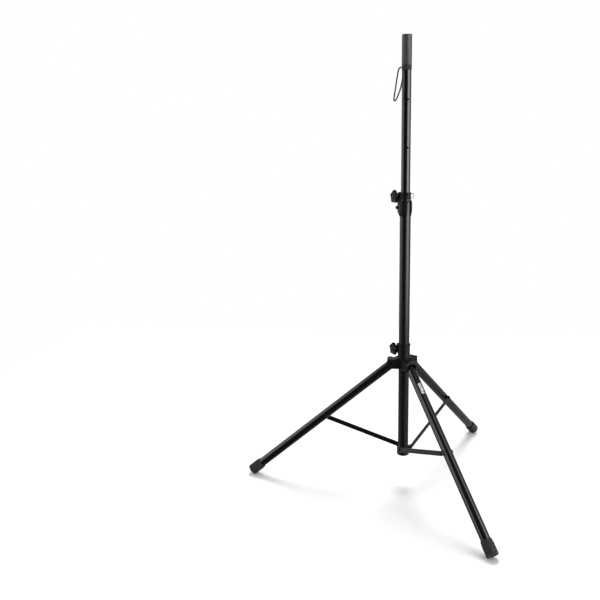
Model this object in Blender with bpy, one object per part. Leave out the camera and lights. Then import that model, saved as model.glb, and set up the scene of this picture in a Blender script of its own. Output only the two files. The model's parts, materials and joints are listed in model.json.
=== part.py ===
"""A folding tripod stand for a loudspeaker, built as an assembly of its separate pieces.

The column axis is vertical. One leg points along -X, the other two are 120 degrees either side of it.
A leg's own frame has X pointing away from the column, Y along its hinge and Z up.
"""

import math

import bmesh
import bpy
from mathutils import Vector

# Driving dimensions, in metres.
STAND_HEIGHT = 1.770
COLUMN_TOP = 1.171
COLUMN_DIAMETER = 0.042
POLE_DIAMETER = 0.035
LEG_DIAMETER = 0.036
LEG_LENGTH = 0.7623
LEG_ANGLE = math.radians(50)
LEG_DIRECTIONS = [math.radians(180), math.radians(300), math.radians(60)]
EAR_DIRECTION = math.radians(120)
PIN_DIRECTION = math.radians(293)
WINDOW_DIRECTION = math.radians(313)

# Fits and wall thicknesses.
GAP = 0.0003
SLIDE_GAP = 0.00035
TUBE_WALL = 0.0015
ROUND_STEPS = 28
SMALL_STEPS = 16

# The column and what is fixed to it.
COLUMN_RADIUS = COLUMN_DIAMETER / 2
COLUMN_BORE = COLUMN_RADIUS - TUBE_WALL
COLUMN_BOTTOM = 0.1235
HUB_RADIUS = COLUMN_RADIUS + 0.004
HUB_BOTTOM = 0.121
HUB_TOP = 0.151
HUB_PIN_HEIGHT = 0.1506
HUB_PIN_REACH = 0.018
HUB_PIN_RADIUS = 0.003
HUB_EAR_RADIUS = 0.010

# The pole, its sleeve and its row of holes.
POLE_RADIUS = POLE_DIAMETER / 2
POLE_BORE = POLE_RADIUS - TUBE_WALL
POLE_OVERLAP = 0.312
POLE_BOTTOM = COLUMN_TOP - POLE_OVERLAP
SLEEVE_LENGTH = 0.107
SLEEVE_WALL = 0.0007
SLEEVE_CAP = 0.002
SLEEVE_BOTTOM = STAND_HEIGHT - SLEEVE_LENGTH
SLEEVE_RADIUS = POLE_RADIUS + SLIDE_GAP + SLEEVE_WALL
PIN_HEIGHT = COLUMN_TOP + 0.0185
PIN_RADIUS = 0.0026
PIN_HOLE_PITCH = 0.175
PIN_HOLES = 3

# The clamp at the top of the column, with heights measured from the top of the column tube.
CLAMP_WIDE_RADIUS = COLUMN_RADIUS + 0.0046
CLAMP_NECK_RADIUS = max(POLE_RADIUS + 0.0036, COLUMN_RADIUS)
CLAMP_BOTTOM = COLUMN_TOP - 0.0655
CLAMP_SKIRT = COLUMN_TOP - 0.0505
CLAMP_SHOULDER = COLUMN_TOP - 0.0075
CLAMP_RIM = COLUMN_TOP + 0.0255
EAR_HALF_WIDTH = 0.013
EAR_BOLT_REACH = COLUMN_RADIUS + 0.012
EAR_REACH = EAR_BOLT_REACH + 0.009
SLIT_WIDTH = 0.003
BOLT_RADIUS = 0.004
BOLT_HOLE = BOLT_RADIUS + 0.0004
HEX_RADIUS = 0.0070
CLAMP_BOLT_HEIGHT = COLUMN_TOP + 0.008
FIXING_BOLT_HEIGHT = COLUMN_TOP - 0.0345
FIXING_BOLT_REACH = COLUMN_RADIUS + 0.014

# The two clamping knobs.
KNOB_RADIUS = 0.0235
KNOB_LOBE = 0.0025
KNOB_LOBES = 5
KNOB_THICKNESS = 0.013
KNOB_START = COLUMN_RADIUS + 0.0025
KNOB_BOSS_RADIUS = 0.009

# The legs, in a frame with its origin at the hinge and -Z along the leg.
LEG_RADIUS = LEG_DIAMETER / 2
LEG_BORE = LEG_RADIUS - 0.0012
LEG_TOP = 0.0125
PLUG_FLANGE = 0.0015
FOOT_RADIUS = LEG_RADIUS + 0.0045
FOOT_LENGTH = 0.056
FOOT_FLOOR = 0.005
FOOT_FLAT = 0.0022
BRACE_AT = 0.483 * LEG_LENGTH

# The housing that carries the legs.
COLLAR_RADIUS = COLUMN_RADIUS + 0.003
LIP_RADIUS = COLLAR_RADIUS + 0.0015
HOUSING_BORE = COLUMN_RADIUS + 0.0013
SOCKET_INNER = LEG_RADIUS + 0.001
SOCKET_OUTER = SOCKET_INNER + 0.0048
POCKET_RADIUS = math.hypot(LEG_TOP + PLUG_FLANGE, LEG_RADIUS) + 0.0012
HOOD_RADIUS = POCKET_RADIUS + 0.0055
HINGE_REACH = COLLAR_RADIUS + POCKET_RADIUS + 0.008
HINGE_HEIGHT = LEG_LENGTH * math.cos(LEG_ANGLE) + FOOT_RADIUS * math.sin(LEG_ANGLE) - FOOT_FLAT
SOCKET_END = 0.0105
SOCKET_BELOW = 0.010
COLLAR_TOP = HINGE_HEIGHT + 0.091
COLLAR_SHOULDER = HINGE_HEIGHT + 0.035
HOUSING_BOLT_HEIGHT = HINGE_HEIGHT + 0.0645

# The braces, in a frame with its origin at the hub pin and X along the brace.
BRACE_HALF_WIDTH = 0.0095
BRACE_INNER = max(LEG_RADIUS + 0.006, HUB_RADIUS - 0.001)
BRACE_OUTER = BRACE_INNER + 0.003
BRACE_HEAD = BRACE_OUTER + 0.0037
BRACE_PIN_RADIUS = 0.003
BRACE_END = Vector(
    (
        HINGE_REACH + BRACE_AT * math.sin(LEG_ANGLE),
        HINGE_HEIGHT - BRACE_AT * math.cos(LEG_ANGLE),
    )
)
BRACE_LINE = BRACE_END - Vector((HUB_PIN_REACH, HUB_PIN_HEIGHT))
BRACE_LENGTH = BRACE_LINE.length
BRACE_RISE = math.atan2(BRACE_LINE.y, BRACE_LINE.x)

# The strap that hangs from the pole: points of its middle line from the column axis and from the sleeve's end.
STRAP_WIDTH = 0.0055
STRAP_THICKNESS = 0.0012
STRAP_ROUTE = [
    (-0.0200, -0.0080, -0.0080),
    (-0.0290, -0.0100, -0.0160),
    (-0.0340, -0.0130, -0.0420),
    (-0.0395, -0.0170, -0.0800),
    (-0.0450, -0.0200, -0.1170),
    (-0.0440, -0.0215, -0.1265),
    (-0.0385, -0.0230, -0.1250),
    (-0.0300, -0.0245, -0.1080),
    (-0.0210, -0.0255, -0.0830),
    (-0.0150, -0.0250, -0.0550),
    (-0.0125, -0.0230, -0.0300),
    (-0.0120, -0.0195, -0.0110),
]

# The wire ring on the safety pin: points along the ring and below the pin's axis.
RING_WIRE = 0.0008
RING_PIVOT = 0.0285
RING_ROUTE = [
    (0.0000, 0.0042),
    (0.0000, 0.0054),
    (0.0030, 0.0070),
    (0.0120, 0.0055),
    (0.0220, 0.0035),
    (0.0262, -0.0010),
    (0.0245, -0.0090),
    (0.0150, -0.0155),
    (0.0045, -0.0140),
    (0.0000, -0.0080),
    (0.0000, -0.0042),
]

# The stand is placed so that the middle of its footprint is at the origin.
FOOT_CENTRE = HINGE_REACH + LEG_LENGTH * math.sin(LEG_ANGLE)
FOOT_FAR = FOOT_CENTRE + FOOT_RADIUS * math.cos(LEG_ANGLE)
FOOT_SIDE = FOOT_RADIUS * math.sqrt(1 - (math.sin(LEG_ANGLE) / 2) ** 2)
AXIS_X = (FOOT_FAR - FOOT_CENTRE / 2 - FOOT_SIDE) / 2

MANIFOLD_PIECES = ("leg_housing", "clamp_casting", "bottom_hub")

ALONG_Y = (-math.pi / 2, 0, 0)
ALONG_X = (0, math.pi / 2, 0)


def clear_scene():
    for found in list(bpy.data.objects):
        bpy.data.objects.remove(found)


def make_material(name, color, roughness, metallic):
    made = bpy.data.materials.new(name)
    made.use_nodes = True
    made.diffuse_color = (*color, 1)
    shader = made.node_tree.nodes["Principled BSDF"]
    shader.inputs["Base Color"].default_value = (*color, 1)
    shader.inputs["Roughness"].default_value = roughness
    shader.inputs["Metallic"].default_value = metallic
    return made


def make_frame(name, place, turn=(0, 0, 0), parent=None):
    """An empty that pieces are parented to."""
    made = bpy.data.objects.new(name, None)
    made.location = place
    made.rotation_euler = turn
    made.parent = parent
    bpy.context.scene.collection.objects.link(made)
    return made


def make_piece(name, shape, parent, finish=None, place=(0, 0, 0), turn=(0, 0, 0)):
    """An object from a bmesh. The bmesh is used up."""
    bmesh.ops.recalc_face_normals(shape, faces=shape.faces[:])
    mesh = bpy.data.meshes.new(name)
    shape.to_mesh(mesh)
    shape.free()
    made = bpy.data.objects.new(name, mesh)
    made.location = place
    made.rotation_euler = turn
    made.parent = parent
    if finish:
        mesh.materials.append(finish)
    bpy.context.scene.collection.objects.link(made)
    return made


def make_helper(name, shape, parent, place=(0, 0, 0), turn=(0, 0, 0)):
    """A shape that only cuts, or is joined to, another piece."""
    made = make_piece(name, shape, parent, None, place, turn)
    made.hide_render = True
    made.display_type = "WIRE"
    return made


def combine(piece, helper, operation):
    """A Boolean. The pieces that are cut many times leave open edges with the exact solver, so they take MANIFOLD."""
    added = piece.modifiers.new(helper.name, "BOOLEAN")
    added.operation = operation
    added.solver = "MANIFOLD" if piece.name in MANIFOLD_PIECES else "EXACT"
    added.object = helper


def cut(piece, helper):
    combine(piece, helper, "DIFFERENCE")


def join(piece, helper):
    combine(piece, helper, "UNION")


def bevel(piece, width, segments=1):
    added = piece.modifiers.new("edges", "BEVEL")
    added.width = width
    added.segments = segments
    added.limit_method = "ANGLE"
    added.angle_limit = math.radians(40)


def arc(centre, radius, start, end, steps):
    """Points of an arc, with the angles in degrees."""
    angles = [math.radians(start + (end - start) * i / steps) for i in range(steps + 1)]
    return [(centre[0] + radius * math.cos(a), centre[1] + radius * math.sin(a)) for a in angles]


def turned(outline, steps=ROUND_STEPS):
    """A shape turned about Z from (radius, height) points. An outline that starts on the axis also ends there."""
    shape = bmesh.new()
    points = [shape.verts.new((radius, 0, height)) for radius, height in outline]
    pairs = list(zip(points, points[1:]))
    if outline[0][0] > 0:
        pairs.append((points[-1], points[0]))
    edges = [shape.edges.new(pair) for pair in pairs]
    bmesh.ops.spin(
        shape,
        geom=points + edges,
        axis=(0, 0, 1),
        cent=(0, 0, 0),
        angle=math.tau,
        steps=steps,
        use_merge=True,
    )
    bmesh.ops.remove_doubles(shape, verts=shape.verts[:], dist=1e-6)
    return shape


def rod(radius, low, high, steps=SMALL_STEPS):
    """A solid cylinder about Z."""
    return turned([(0, low), (radius, low), (radius, high), (0, high)], steps)


def pipe(outer, inner, low, high, steps=ROUND_STEPS):
    """A hollow cylinder about Z."""
    return turned([(outer, low), (outer, high), (inner, high), (inner, low)], steps)


def slab(outline, low, high):
    """An outline in X and Z, extruded along Y."""
    shape = bmesh.new()
    face = shape.faces.new([shape.verts.new((x, low, z)) for x, z in outline])
    grown = bmesh.ops.extrude_face_region(shape, geom=[face])
    moved = [part for part in grown["geom"] if isinstance(part, bmesh.types.BMVert)]
    bmesh.ops.translate(shape, verts=moved, vec=(0, high - low, 0))
    return shape


def smooth_line(points, steps, closed=False):
    """A Catmull-Rom line through the points."""
    points = [Vector(point) for point in points]
    count = len(points)
    spans = count if closed else count - 1
    line = []
    for i in range(spans):
        near = [points[(i + k) % count] if closed else points[min(max(i + k, 0), count - 1)] for k in (-1, 0, 1, 2)]
        for step in range(steps):
            t = step / steps
            line.append(
                0.5
                * (
                    2 * near[1]
                    + (near[2] - near[0]) * t
                    + (2 * near[0] - 5 * near[1] + 4 * near[2] - near[3]) * t * t
                    + (3 * near[1] - near[0] - 3 * near[2] + near[3]) * t * t * t
                )
            )
    if not closed:
        line.append(points[-1])
    return line


def swept(line, section, facing, closed=False):
    """A section carried along a line. Its first axis lies across the line and across the facing direction."""
    shape = bmesh.new()
    rings = []
    count = len(line)
    for i, point in enumerate(line):
        before = line[(i - 1) % count] if closed else line[max(i - 1, 0)]
        after = line[(i + 1) % count] if closed else line[min(i + 1, count - 1)]
        along = (after - before).normalized()
        across = along.cross(facing).normalized()
        outward = across.cross(along)
        rings.append([shape.verts.new(point + across * u + outward * v) for u, v in section])
    pairs = list(zip(rings, rings[1:]))
    if closed:
        pairs.append((rings[-1], rings[0]))
    for one, two in pairs:
        for k in range(len(section)):
            n = (k + 1) % len(section)
            shape.faces.new((one[k], one[n], two[n], two[k]))
    if not closed:
        shape.faces.new(rings[0])
        shape.faces.new(rings[-1])
    return shape


def bolt(name, parent, finish, place, ends, heads, radius=BOLT_RADIUS, head_radius=HEX_RADIUS):
    """A bolt along Y: its shank between the two ends, and a six-sided head over each (low, high) of the heads."""
    made = make_piece(name, rod(radius, *ends), parent, finish, place, ALONG_Y)
    for number, head in enumerate(heads):
        join(made, make_helper(f"{name}_head_{number}", rod(head_radius, *head, steps=6), parent, place, ALONG_Y))
    return made


def make_column(stand, steel, plastic):
    make_piece("lower_tube", pipe(COLUMN_RADIUS, COLUMN_BORE, COLUMN_BOTTOM, COLUMN_TOP), stand, steel)
    plug = [
        (0, HUB_BOTTOM + GAP),
        (COLUMN_RADIUS, HUB_BOTTOM + GAP),
        (COLUMN_RADIUS, COLUMN_BOTTOM - GAP),
        (COLUMN_BORE - GAP, COLUMN_BOTTOM - GAP),
        (COLUMN_BORE - GAP, COLUMN_BOTTOM + 0.014),
        (0, COLUMN_BOTTOM + 0.014),
    ]
    make_piece("column_end_plug", turned(plug), stand, plastic)


def make_hub(stand, sides, cast, steel):
    """The collar at the foot of the column, with an ear and a pin for each brace."""
    rim = 0.0035
    outline = [
        (0, HUB_BOTTOM),
        (HUB_RADIUS - rim, HUB_BOTTOM),
        (HUB_RADIUS, HUB_BOTTOM + rim),
        (HUB_RADIUS, HUB_TOP - rim),
        (HUB_RADIUS - rim, HUB_TOP),
        (0, HUB_TOP),
    ]
    hub = make_piece("bottom_hub", turned(outline), stand, cast)
    ear_inner = LEG_RADIUS - 0.001
    ear_outer = BRACE_INNER - GAP
    pin_end = math.sqrt(HUB_RADIUS**2 - HUB_PIN_REACH**2) - 0.0002
    for number, side in enumerate(sides, 1):
        centre = (HUB_PIN_REACH, HUB_PIN_HEIGHT)
        outline = arc(centre, HUB_EAR_RADIUS, -40, 150, 10) + [(-0.004, HUB_BOTTOM + 0.008), (0.016, HUB_BOTTOM + 0.008)]
        ear = make_helper(f"hub_ear_{number}", slab(outline, -ear_outer, -ear_inner), side)
        bevel(ear, 0.0008)
        join(hub, ear)
        place = (HUB_PIN_REACH, 0, HUB_PIN_HEIGHT)
        hole = rod(HUB_PIN_RADIUS + GAP, -0.05, GAP - pin_end)
        cut(hub, make_helper(f"hub_hole_{number}", hole, side, place, ALONG_Y))
        outline = [
            (0, -BRACE_HEAD),
            (0.0045, -BRACE_HEAD),
            (0.006, -BRACE_HEAD + 0.0015),
            (0.006, -BRACE_OUTER - GAP),
            (HUB_PIN_RADIUS, -BRACE_OUTER - GAP),
            (HUB_PIN_RADIUS, -pin_end),
            (0, -pin_end),
        ]
        make_piece(f"hub_pin_{number}", turned(outline, SMALL_STEPS), side, steel, place, ALONG_Y)
    bore = rod(COLUMN_RADIUS + SLIDE_GAP, HUB_BOTTOM - 0.01, HUB_TOP + 0.03, ROUND_STEPS)
    cut(hub, make_helper("hub_bore", bore, stand))


def make_pole(stand, gloss, plastic):
    pole_top = STAND_HEIGHT - SLEEVE_CAP - GAP
    pole = make_piece("upper_tube", pipe(POLE_RADIUS, POLE_BORE, POLE_BOTTOM, pole_top), stand, gloss)
    for number in range(PIN_HOLES):
        place = (0, 0, PIN_HEIGHT + number * PIN_HOLE_PITCH)
        row = make_frame(f"pin_hole_row_{number}", place, (0, 0, PIN_DIRECTION), stand)
        hole = rod(PIN_RADIUS + 0.0005, -2 * POLE_RADIUS, 2 * POLE_RADIUS, 12)
        cut(pole, make_helper(f"pin_hole_{number}", hole, row, (0, 0, 0), ALONG_X))
    flange = pole_top - 0.003
    make_piece("pole_top_plug", rod(POLE_BORE - GAP, flange - 0.025, flange, 24), stand, plastic)
    runner = [
        (0, POLE_BOTTOM - 0.0033),
        (COLUMN_BORE - SLIDE_GAP, POLE_BOTTOM - 0.0033),
        (COLUMN_BORE - SLIDE_GAP, POLE_BOTTOM + 0.022),
        (POLE_RADIUS + GAP, POLE_BOTTOM + 0.022),
        (POLE_RADIUS + GAP, POLE_BOTTOM - GAP),
        (0, POLE_BOTTOM - GAP),
    ]
    make_piece("pole_runner", turned(runner), stand, plastic)


def make_sleeve(stand, plastic):
    groove = STAND_HEIGHT - 0.013
    outline = [
        (0, STAND_HEIGHT - SLEEVE_CAP),
        (POLE_RADIUS + SLIDE_GAP, STAND_HEIGHT - SLEEVE_CAP),
        (POLE_RADIUS + SLIDE_GAP, SLEEVE_BOTTOM),
        (SLEEVE_RADIUS, SLEEVE_BOTTOM),
        (SLEEVE_RADIUS, groove - 0.0006),
        (SLEEVE_RADIUS - 0.0003, groove),
        (SLEEVE_RADIUS, groove + 0.0006),
        (SLEEVE_RADIUS, STAND_HEIGHT - 0.0010),
        (SLEEVE_RADIUS - 0.0010, STAND_HEIGHT),
        (0, STAND_HEIGHT),
    ]
    make_piece("adaptor_sleeve", turned(outline), stand, plastic)


def make_strap(stand, webbing):
    band = pipe(POLE_RADIUS + 0.0015, POLE_RADIUS + SLIDE_GAP, SLEEVE_BOTTOM - 0.018, SLEEVE_BOTTOM - 0.0006)
    make_piece("strap_band", band, stand, webbing)
    w = STRAP_WIDTH / 2
    t = STRAP_THICKNESS / 2
    facing = Vector((-0.35, -0.94, 0))
    loop = swept(smooth_line(STRAP_ROUTE, 3), [(-w, -t), (w, -t), (w, t), (-w, t)], facing)
    make_piece("strap_loop", loop, stand, webbing, (0, 0, SLEEVE_BOTTOM))


def make_clamp(stand, ear_side, plastic, steel):
    """The casting that joins column and pole: a split ring with two bolts, a pin hole and an arched window."""
    outline = [
        (0, CLAMP_BOTTOM),
        (COLUMN_RADIUS + 0.0013, CLAMP_BOTTOM),
        (CLAMP_WIDE_RADIUS - 0.001, CLAMP_SKIRT),
        (CLAMP_WIDE_RADIUS, CLAMP_SKIRT + 0.008),
        (CLAMP_WIDE_RADIUS, CLAMP_SHOULDER - 0.003),
        (CLAMP_WIDE_RADIUS - 0.002, CLAMP_SHOULDER),
        (CLAMP_NECK_RADIUS, CLAMP_SHOULDER + 0.005),
        (CLAMP_NECK_RADIUS, CLAMP_RIM - 0.0015),
        (CLAMP_NECK_RADIUS - 0.001, CLAMP_RIM),
        (0, CLAMP_RIM),
    ]
    casting = make_piece("clamp_casting", turned(outline), stand, plastic)
    corner = 0.010
    outline = [
        (0.012, CLAMP_BOTTOM - 0.004),
        (COLUMN_RADIUS + 0.001, CLAMP_BOTTOM - 0.006),
        (COLUMN_RADIUS + 0.0045, CLAMP_BOTTOM - 0.002),
        (EAR_REACH - 0.008, CLAMP_BOTTOM + 0.006),
        (EAR_REACH, CLAMP_BOTTOM + 0.016),
    ]
    outline += arc((EAR_REACH - corner, CLAMP_RIM - corner), corner, 0, 90, 5) + [(0.012, CLAMP_RIM)]
    ears = make_helper("clamp_ears", slab(outline, -EAR_HALF_WIDTH, EAR_HALF_WIDTH), ear_side)
    bevel(ears, 0.0015)
    join(casting, ears)

    seat_top = COLUMN_TOP + 0.0052
    bore = [
        (0, CLAMP_BOTTOM - 0.02),
        (COLUMN_RADIUS + SLIDE_GAP, CLAMP_BOTTOM - 0.02),
        (COLUMN_RADIUS + SLIDE_GAP, seat_top),
        (POLE_RADIUS + 0.00045, seat_top),
        (POLE_RADIUS + 0.00045, CLAMP_RIM + 0.01),
        (0, CLAMP_RIM + 0.01),
    ]
    cut(casting, make_helper("clamp_bore", turned(bore), stand))
    slit = [
        (POLE_RADIUS - 0.004, CLAMP_BOTTOM - 0.02),
        (EAR_REACH + 0.01, CLAMP_BOTTOM - 0.02),
        (EAR_REACH + 0.01, CLAMP_RIM + 0.01),
        (POLE_RADIUS - 0.004, CLAMP_RIM + 0.01),
    ]
    cut(casting, make_helper("clamp_slit", slab(slit, -SLIT_WIDTH / 2, SLIT_WIDTH / 2), ear_side))
    for name, reach, height in (
        ("clamp_bolt_hole", EAR_BOLT_REACH, CLAMP_BOLT_HEIGHT),
        ("fixing_bolt_hole", FIXING_BOLT_REACH, FIXING_BOLT_HEIGHT),
    ):
        hole = rod(BOLT_HOLE, -0.03, 0.03)
        cut(casting, make_helper(name, hole, ear_side, (reach, 0, height), ALONG_Y))
    arch_radius = 0.0092
    arch_centre = COLUMN_TOP - 0.0185
    outline = arc((0, arch_centre), arch_radius, 0, 180, 8)
    outline += [(-arch_radius - 0.0023, CLAMP_BOTTOM - 0.01), (arch_radius + 0.0013, CLAMP_BOTTOM - 0.01)]
    window_side = make_frame("window_side", (0, 0, 0), (0, 0, WINDOW_DIRECTION - math.pi / 2), stand)
    window = slab(outline, COLUMN_RADIUS - 0.002, COLUMN_RADIUS + 0.02)
    cut(casting, make_helper("clamp_window", window, window_side))
    pin_side = make_frame("pin_side", (0, 0, PIN_HEIGHT), (0, 0, PIN_DIRECTION), stand)
    hole = rod(PIN_RADIUS + GAP, POLE_RADIUS - 0.005, CLAMP_NECK_RADIUS + 0.01)
    cut(casting, make_helper("clamp_pin_hole", hole, pin_side, (0, 0, 0), ALONG_X))

    outline = [
        (COLUMN_BORE - GAP, COLUMN_TOP - 0.050),
        (COLUMN_BORE - GAP, COLUMN_TOP + GAP),
        (COLUMN_RADIUS - 0.0003, COLUMN_TOP + GAP),
        (COLUMN_RADIUS - 0.0003, COLUMN_TOP + 0.0042),
        (POLE_RADIUS + SLIDE_GAP, COLUMN_TOP + 0.0042),
        (POLE_RADIUS + SLIDE_GAP, COLUMN_TOP - 0.050),
    ]
    make_piece("clamp_bushing", turned(outline), stand, plastic)
    near = EAR_HALF_WIDTH + GAP
    stud_end = KNOB_START + KNOB_THICKNESS * 0.6
    place = (EAR_BOLT_REACH, 0, CLAMP_BOLT_HEIGHT)
    bolt("clamp_bolt", ear_side, steel, place, (-near - 0.001, stud_end), [(-near - 0.0055, -near)])
    place = (FIXING_BOLT_REACH, 0, FIXING_BOLT_HEIGHT)
    heads = [(-near - 0.0055, -near), (near, near + 0.0075)]
    bolt("clamp_fixing_bolt", ear_side, steel, place, (-near - 0.001, near + 0.009), heads)


def make_knob(name, ear_side, reach, height, plastic):
    """A five-lobed knob with its boss against the ear, and a blind hole for the bolt."""
    points = 45
    outline = []
    for i in range(points):
        angle = math.tau * i / points
        radius = KNOB_RADIUS + KNOB_LOBE * math.cos(KNOB_LOBES * angle)
        outline.append((radius * math.sin(angle), radius * math.cos(angle)))
    place = (reach, 0, height)
    knob = make_piece(name, slab(outline, KNOB_START, KNOB_START + KNOB_THICKNESS), ear_side, plastic, place)
    bevel(knob, 0.002)
    boss = [
        (0, EAR_HALF_WIDTH + 2 * GAP),
        (KNOB_BOSS_RADIUS, EAR_HALF_WIDTH + 2 * GAP),
        (KNOB_BOSS_RADIUS, KNOB_START + 0.001),
        (0, KNOB_START + 0.001),
    ]
    join(knob, make_helper(f"{name}_boss", turned(boss, 24), ear_side, place, ALONG_Y))
    blind = rod(BOLT_HOLE, 0, KNOB_START + KNOB_THICKNESS * 0.6 + GAP)
    cut(knob, make_helper(f"{name}_hole", blind, ear_side, place, ALONG_Y))


def make_safety_pin(stand, steel):
    """A pull pin beside the pole, and the wire ring that hangs from its head."""
    pin_side = make_frame("safety_pin_side", (0, 0, PIN_HEIGHT), (0, 0, PIN_DIRECTION), stand)
    start = POLE_RADIUS + 0.0005
    neck = CLAMP_NECK_RADIUS + 0.0040
    head = 0.0042
    outline = [
        (0, start),
        (PIN_RADIUS - 0.0006, start),
        (PIN_RADIUS, start + 0.0006),
        (PIN_RADIUS, neck),
        (head, neck),
        (head, RING_PIVOT + 0.0026),
        (head - 0.0008, RING_PIVOT + 0.0034),
        (0, RING_PIVOT + 0.0034),
    ]
    pin = make_piece("safety_pin", turned(outline, SMALL_STEPS), pin_side, steel, (0, 0, 0), ALONG_X)
    eye = rod(RING_WIRE + 0.0004, -0.01, 0.01, 12)
    cut(pin, make_helper("safety_pin_eye", eye, pin_side, (RING_PIVOT, 0, 0)))
    place = (RING_PIVOT * math.cos(PIN_DIRECTION), RING_PIVOT * math.sin(PIN_DIRECTION), PIN_HEIGHT)
    line = smooth_line([(x, 0, z) for x, z in RING_ROUTE], 3, closed=True)
    section = arc((0, 0), RING_WIRE, 0, 315, 7)
    make_piece("pin_ring", swept(line, section, Vector((0, -1, 0)), closed=True), stand, steel, place)


def make_housing(stand, sides, ear_side, plastic, steel):
    """The sliding housing: a split collar with ears for its bolt, and a hooded socket for each leg."""
    rise = 0.008
    outline = [
        (0, HINGE_HEIGHT - SOCKET_BELOW),
        (COLLAR_RADIUS, HINGE_HEIGHT - SOCKET_BELOW),
        (COLLAR_RADIUS, COLLAR_TOP - rise - 0.001),
        (LIP_RADIUS, COLLAR_TOP - rise),
        (LIP_RADIUS, COLLAR_TOP - 0.001),
        (LIP_RADIUS - 0.001, COLLAR_TOP),
        (0, COLLAR_TOP),
    ]
    housing = make_piece("leg_housing", turned(outline), stand, plastic)
    end_angle = math.degrees(math.acos(SOCKET_END / HOOD_RADIUS))
    outline = [
        (0.014, HINGE_HEIGHT - SOCKET_BELOW),
        (HINGE_REACH + SOCKET_END - 0.0065, HINGE_HEIGHT - SOCKET_BELOW),
        (HINGE_REACH + SOCKET_END, HINGE_HEIGHT - SOCKET_BELOW + 0.0065),
    ]
    outline += arc((HINGE_REACH, HINGE_HEIGHT), HOOD_RADIUS, end_angle, 118, 7)
    outline += [(COLLAR_RADIUS - 0.002, COLLAR_SHOULDER), (0.014, COLLAR_SHOULDER)]
    for number, side in enumerate(sides, 1):
        socket = make_helper(f"socket_{number}", slab(outline, -SOCKET_OUTER, SOCKET_OUTER), side)
        bevel(socket, 0.0035)
        join(housing, socket)
    middle = HOUSING_BOLT_HEIGHT
    half = 0.0215
    corner = 0.009
    outline = [(0.012, middle - half)]
    outline += arc((EAR_REACH - corner, middle - half + corner), corner, -90, 0, 4)
    outline += arc((EAR_REACH - corner, middle + half - corner), corner, 0, 90, 4)
    outline += [(0.012, middle + half)]
    ears = make_helper("housing_ears", slab(outline, -EAR_HALF_WIDTH, EAR_HALF_WIDTH), ear_side)
    bevel(ears, 0.0015)
    join(housing, ears)

    slit = [
        (COLUMN_RADIUS - 0.006, COLLAR_SHOULDER + 0.001),
        (EAR_REACH + 0.01, COLLAR_SHOULDER + 0.001),
        (EAR_REACH + 0.01, COLLAR_TOP + 0.01),
        (COLUMN_RADIUS - 0.006, COLLAR_TOP + 0.01),
    ]
    cut(housing, make_helper("housing_slit", slab(slit, -SLIT_WIDTH / 2, SLIT_WIDTH / 2), ear_side))
    bore = rod(HOUSING_BORE, HINGE_HEIGHT - 0.05, COLLAR_TOP + 0.01, ROUND_STEPS)
    cut(housing, make_helper("housing_bore", bore, stand))
    hole = rod(BOLT_HOLE, -0.03, 0.03)
    place = (EAR_BOLT_REACH, 0, HOUSING_BOLT_HEIGHT)
    cut(housing, make_helper("housing_bolt_hole", hole, ear_side, place, ALONG_Y))

    far = 0.12
    for number, side in enumerate(sides, 1):
        hinge = make_frame(f"pocket_hinge_{number}", (HINGE_REACH, 0, HINGE_HEIGHT), (0, 0, 0), side)
        barrel = [(0, -SOCKET_INNER)]
        for i in range(7):
            y = SOCKET_INNER * (i / 3 - 1)
            barrel.append((math.sqrt(POCKET_RADIUS**2 - y**2), y))
        barrel.append((0, SOCKET_INNER))
        pocket = make_helper(f"pocket_{number}", turned(barrel, 24), hinge, (0, 0, 0), ALONG_Y)
        fan = [(0, 0), (far * math.sin(LEG_ANGLE), -far * math.cos(LEG_ANGLE)), (0, -far)]
        join(pocket, make_helper(f"pocket_fan_{number}", slab(fan, -SOCKET_INNER, SOCKET_INNER), hinge))
        for name, angle in (("open", LEG_ANGLE), ("shut", 0)):
            lane = rod(SOCKET_INNER, -far, 0, 24)
            join(pocket, make_helper(f"pocket_{name}_{number}", lane, hinge, (0, 0, 0), (0, -angle, 0)))
        cut(housing, pocket)
        hole = rod(BOLT_HOLE, -0.04, 0.04)
        cut(housing, make_helper(f"hinge_hole_{number}", hole, hinge, (0, 0, 0), ALONG_Y))
    bushing = pipe(HOUSING_BORE - GAP, COLUMN_RADIUS + SLIDE_GAP, HINGE_HEIGHT - SOCKET_BELOW + 0.001, COLLAR_TOP - 0.001)
    make_piece("housing_bushing", bushing, stand, plastic)
    near = EAR_HALF_WIDTH + GAP
    stud_end = KNOB_START + KNOB_THICKNESS * 0.6
    bolt("housing_bolt", ear_side, steel, place, (-near - 0.001, stud_end), [(-near - 0.0055, -near)])
    near = SOCKET_OUTER + GAP
    for number, side in enumerate(sides, 1):
        heads = [(-near - 0.0040, -near), (near, near + 0.0045)]
        place = (HINGE_REACH, 0, HINGE_HEIGHT)
        bolt(f"leg_pivot_bolt_{number}", side, steel, place, (-near - 0.001, near + 0.001), heads)


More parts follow.
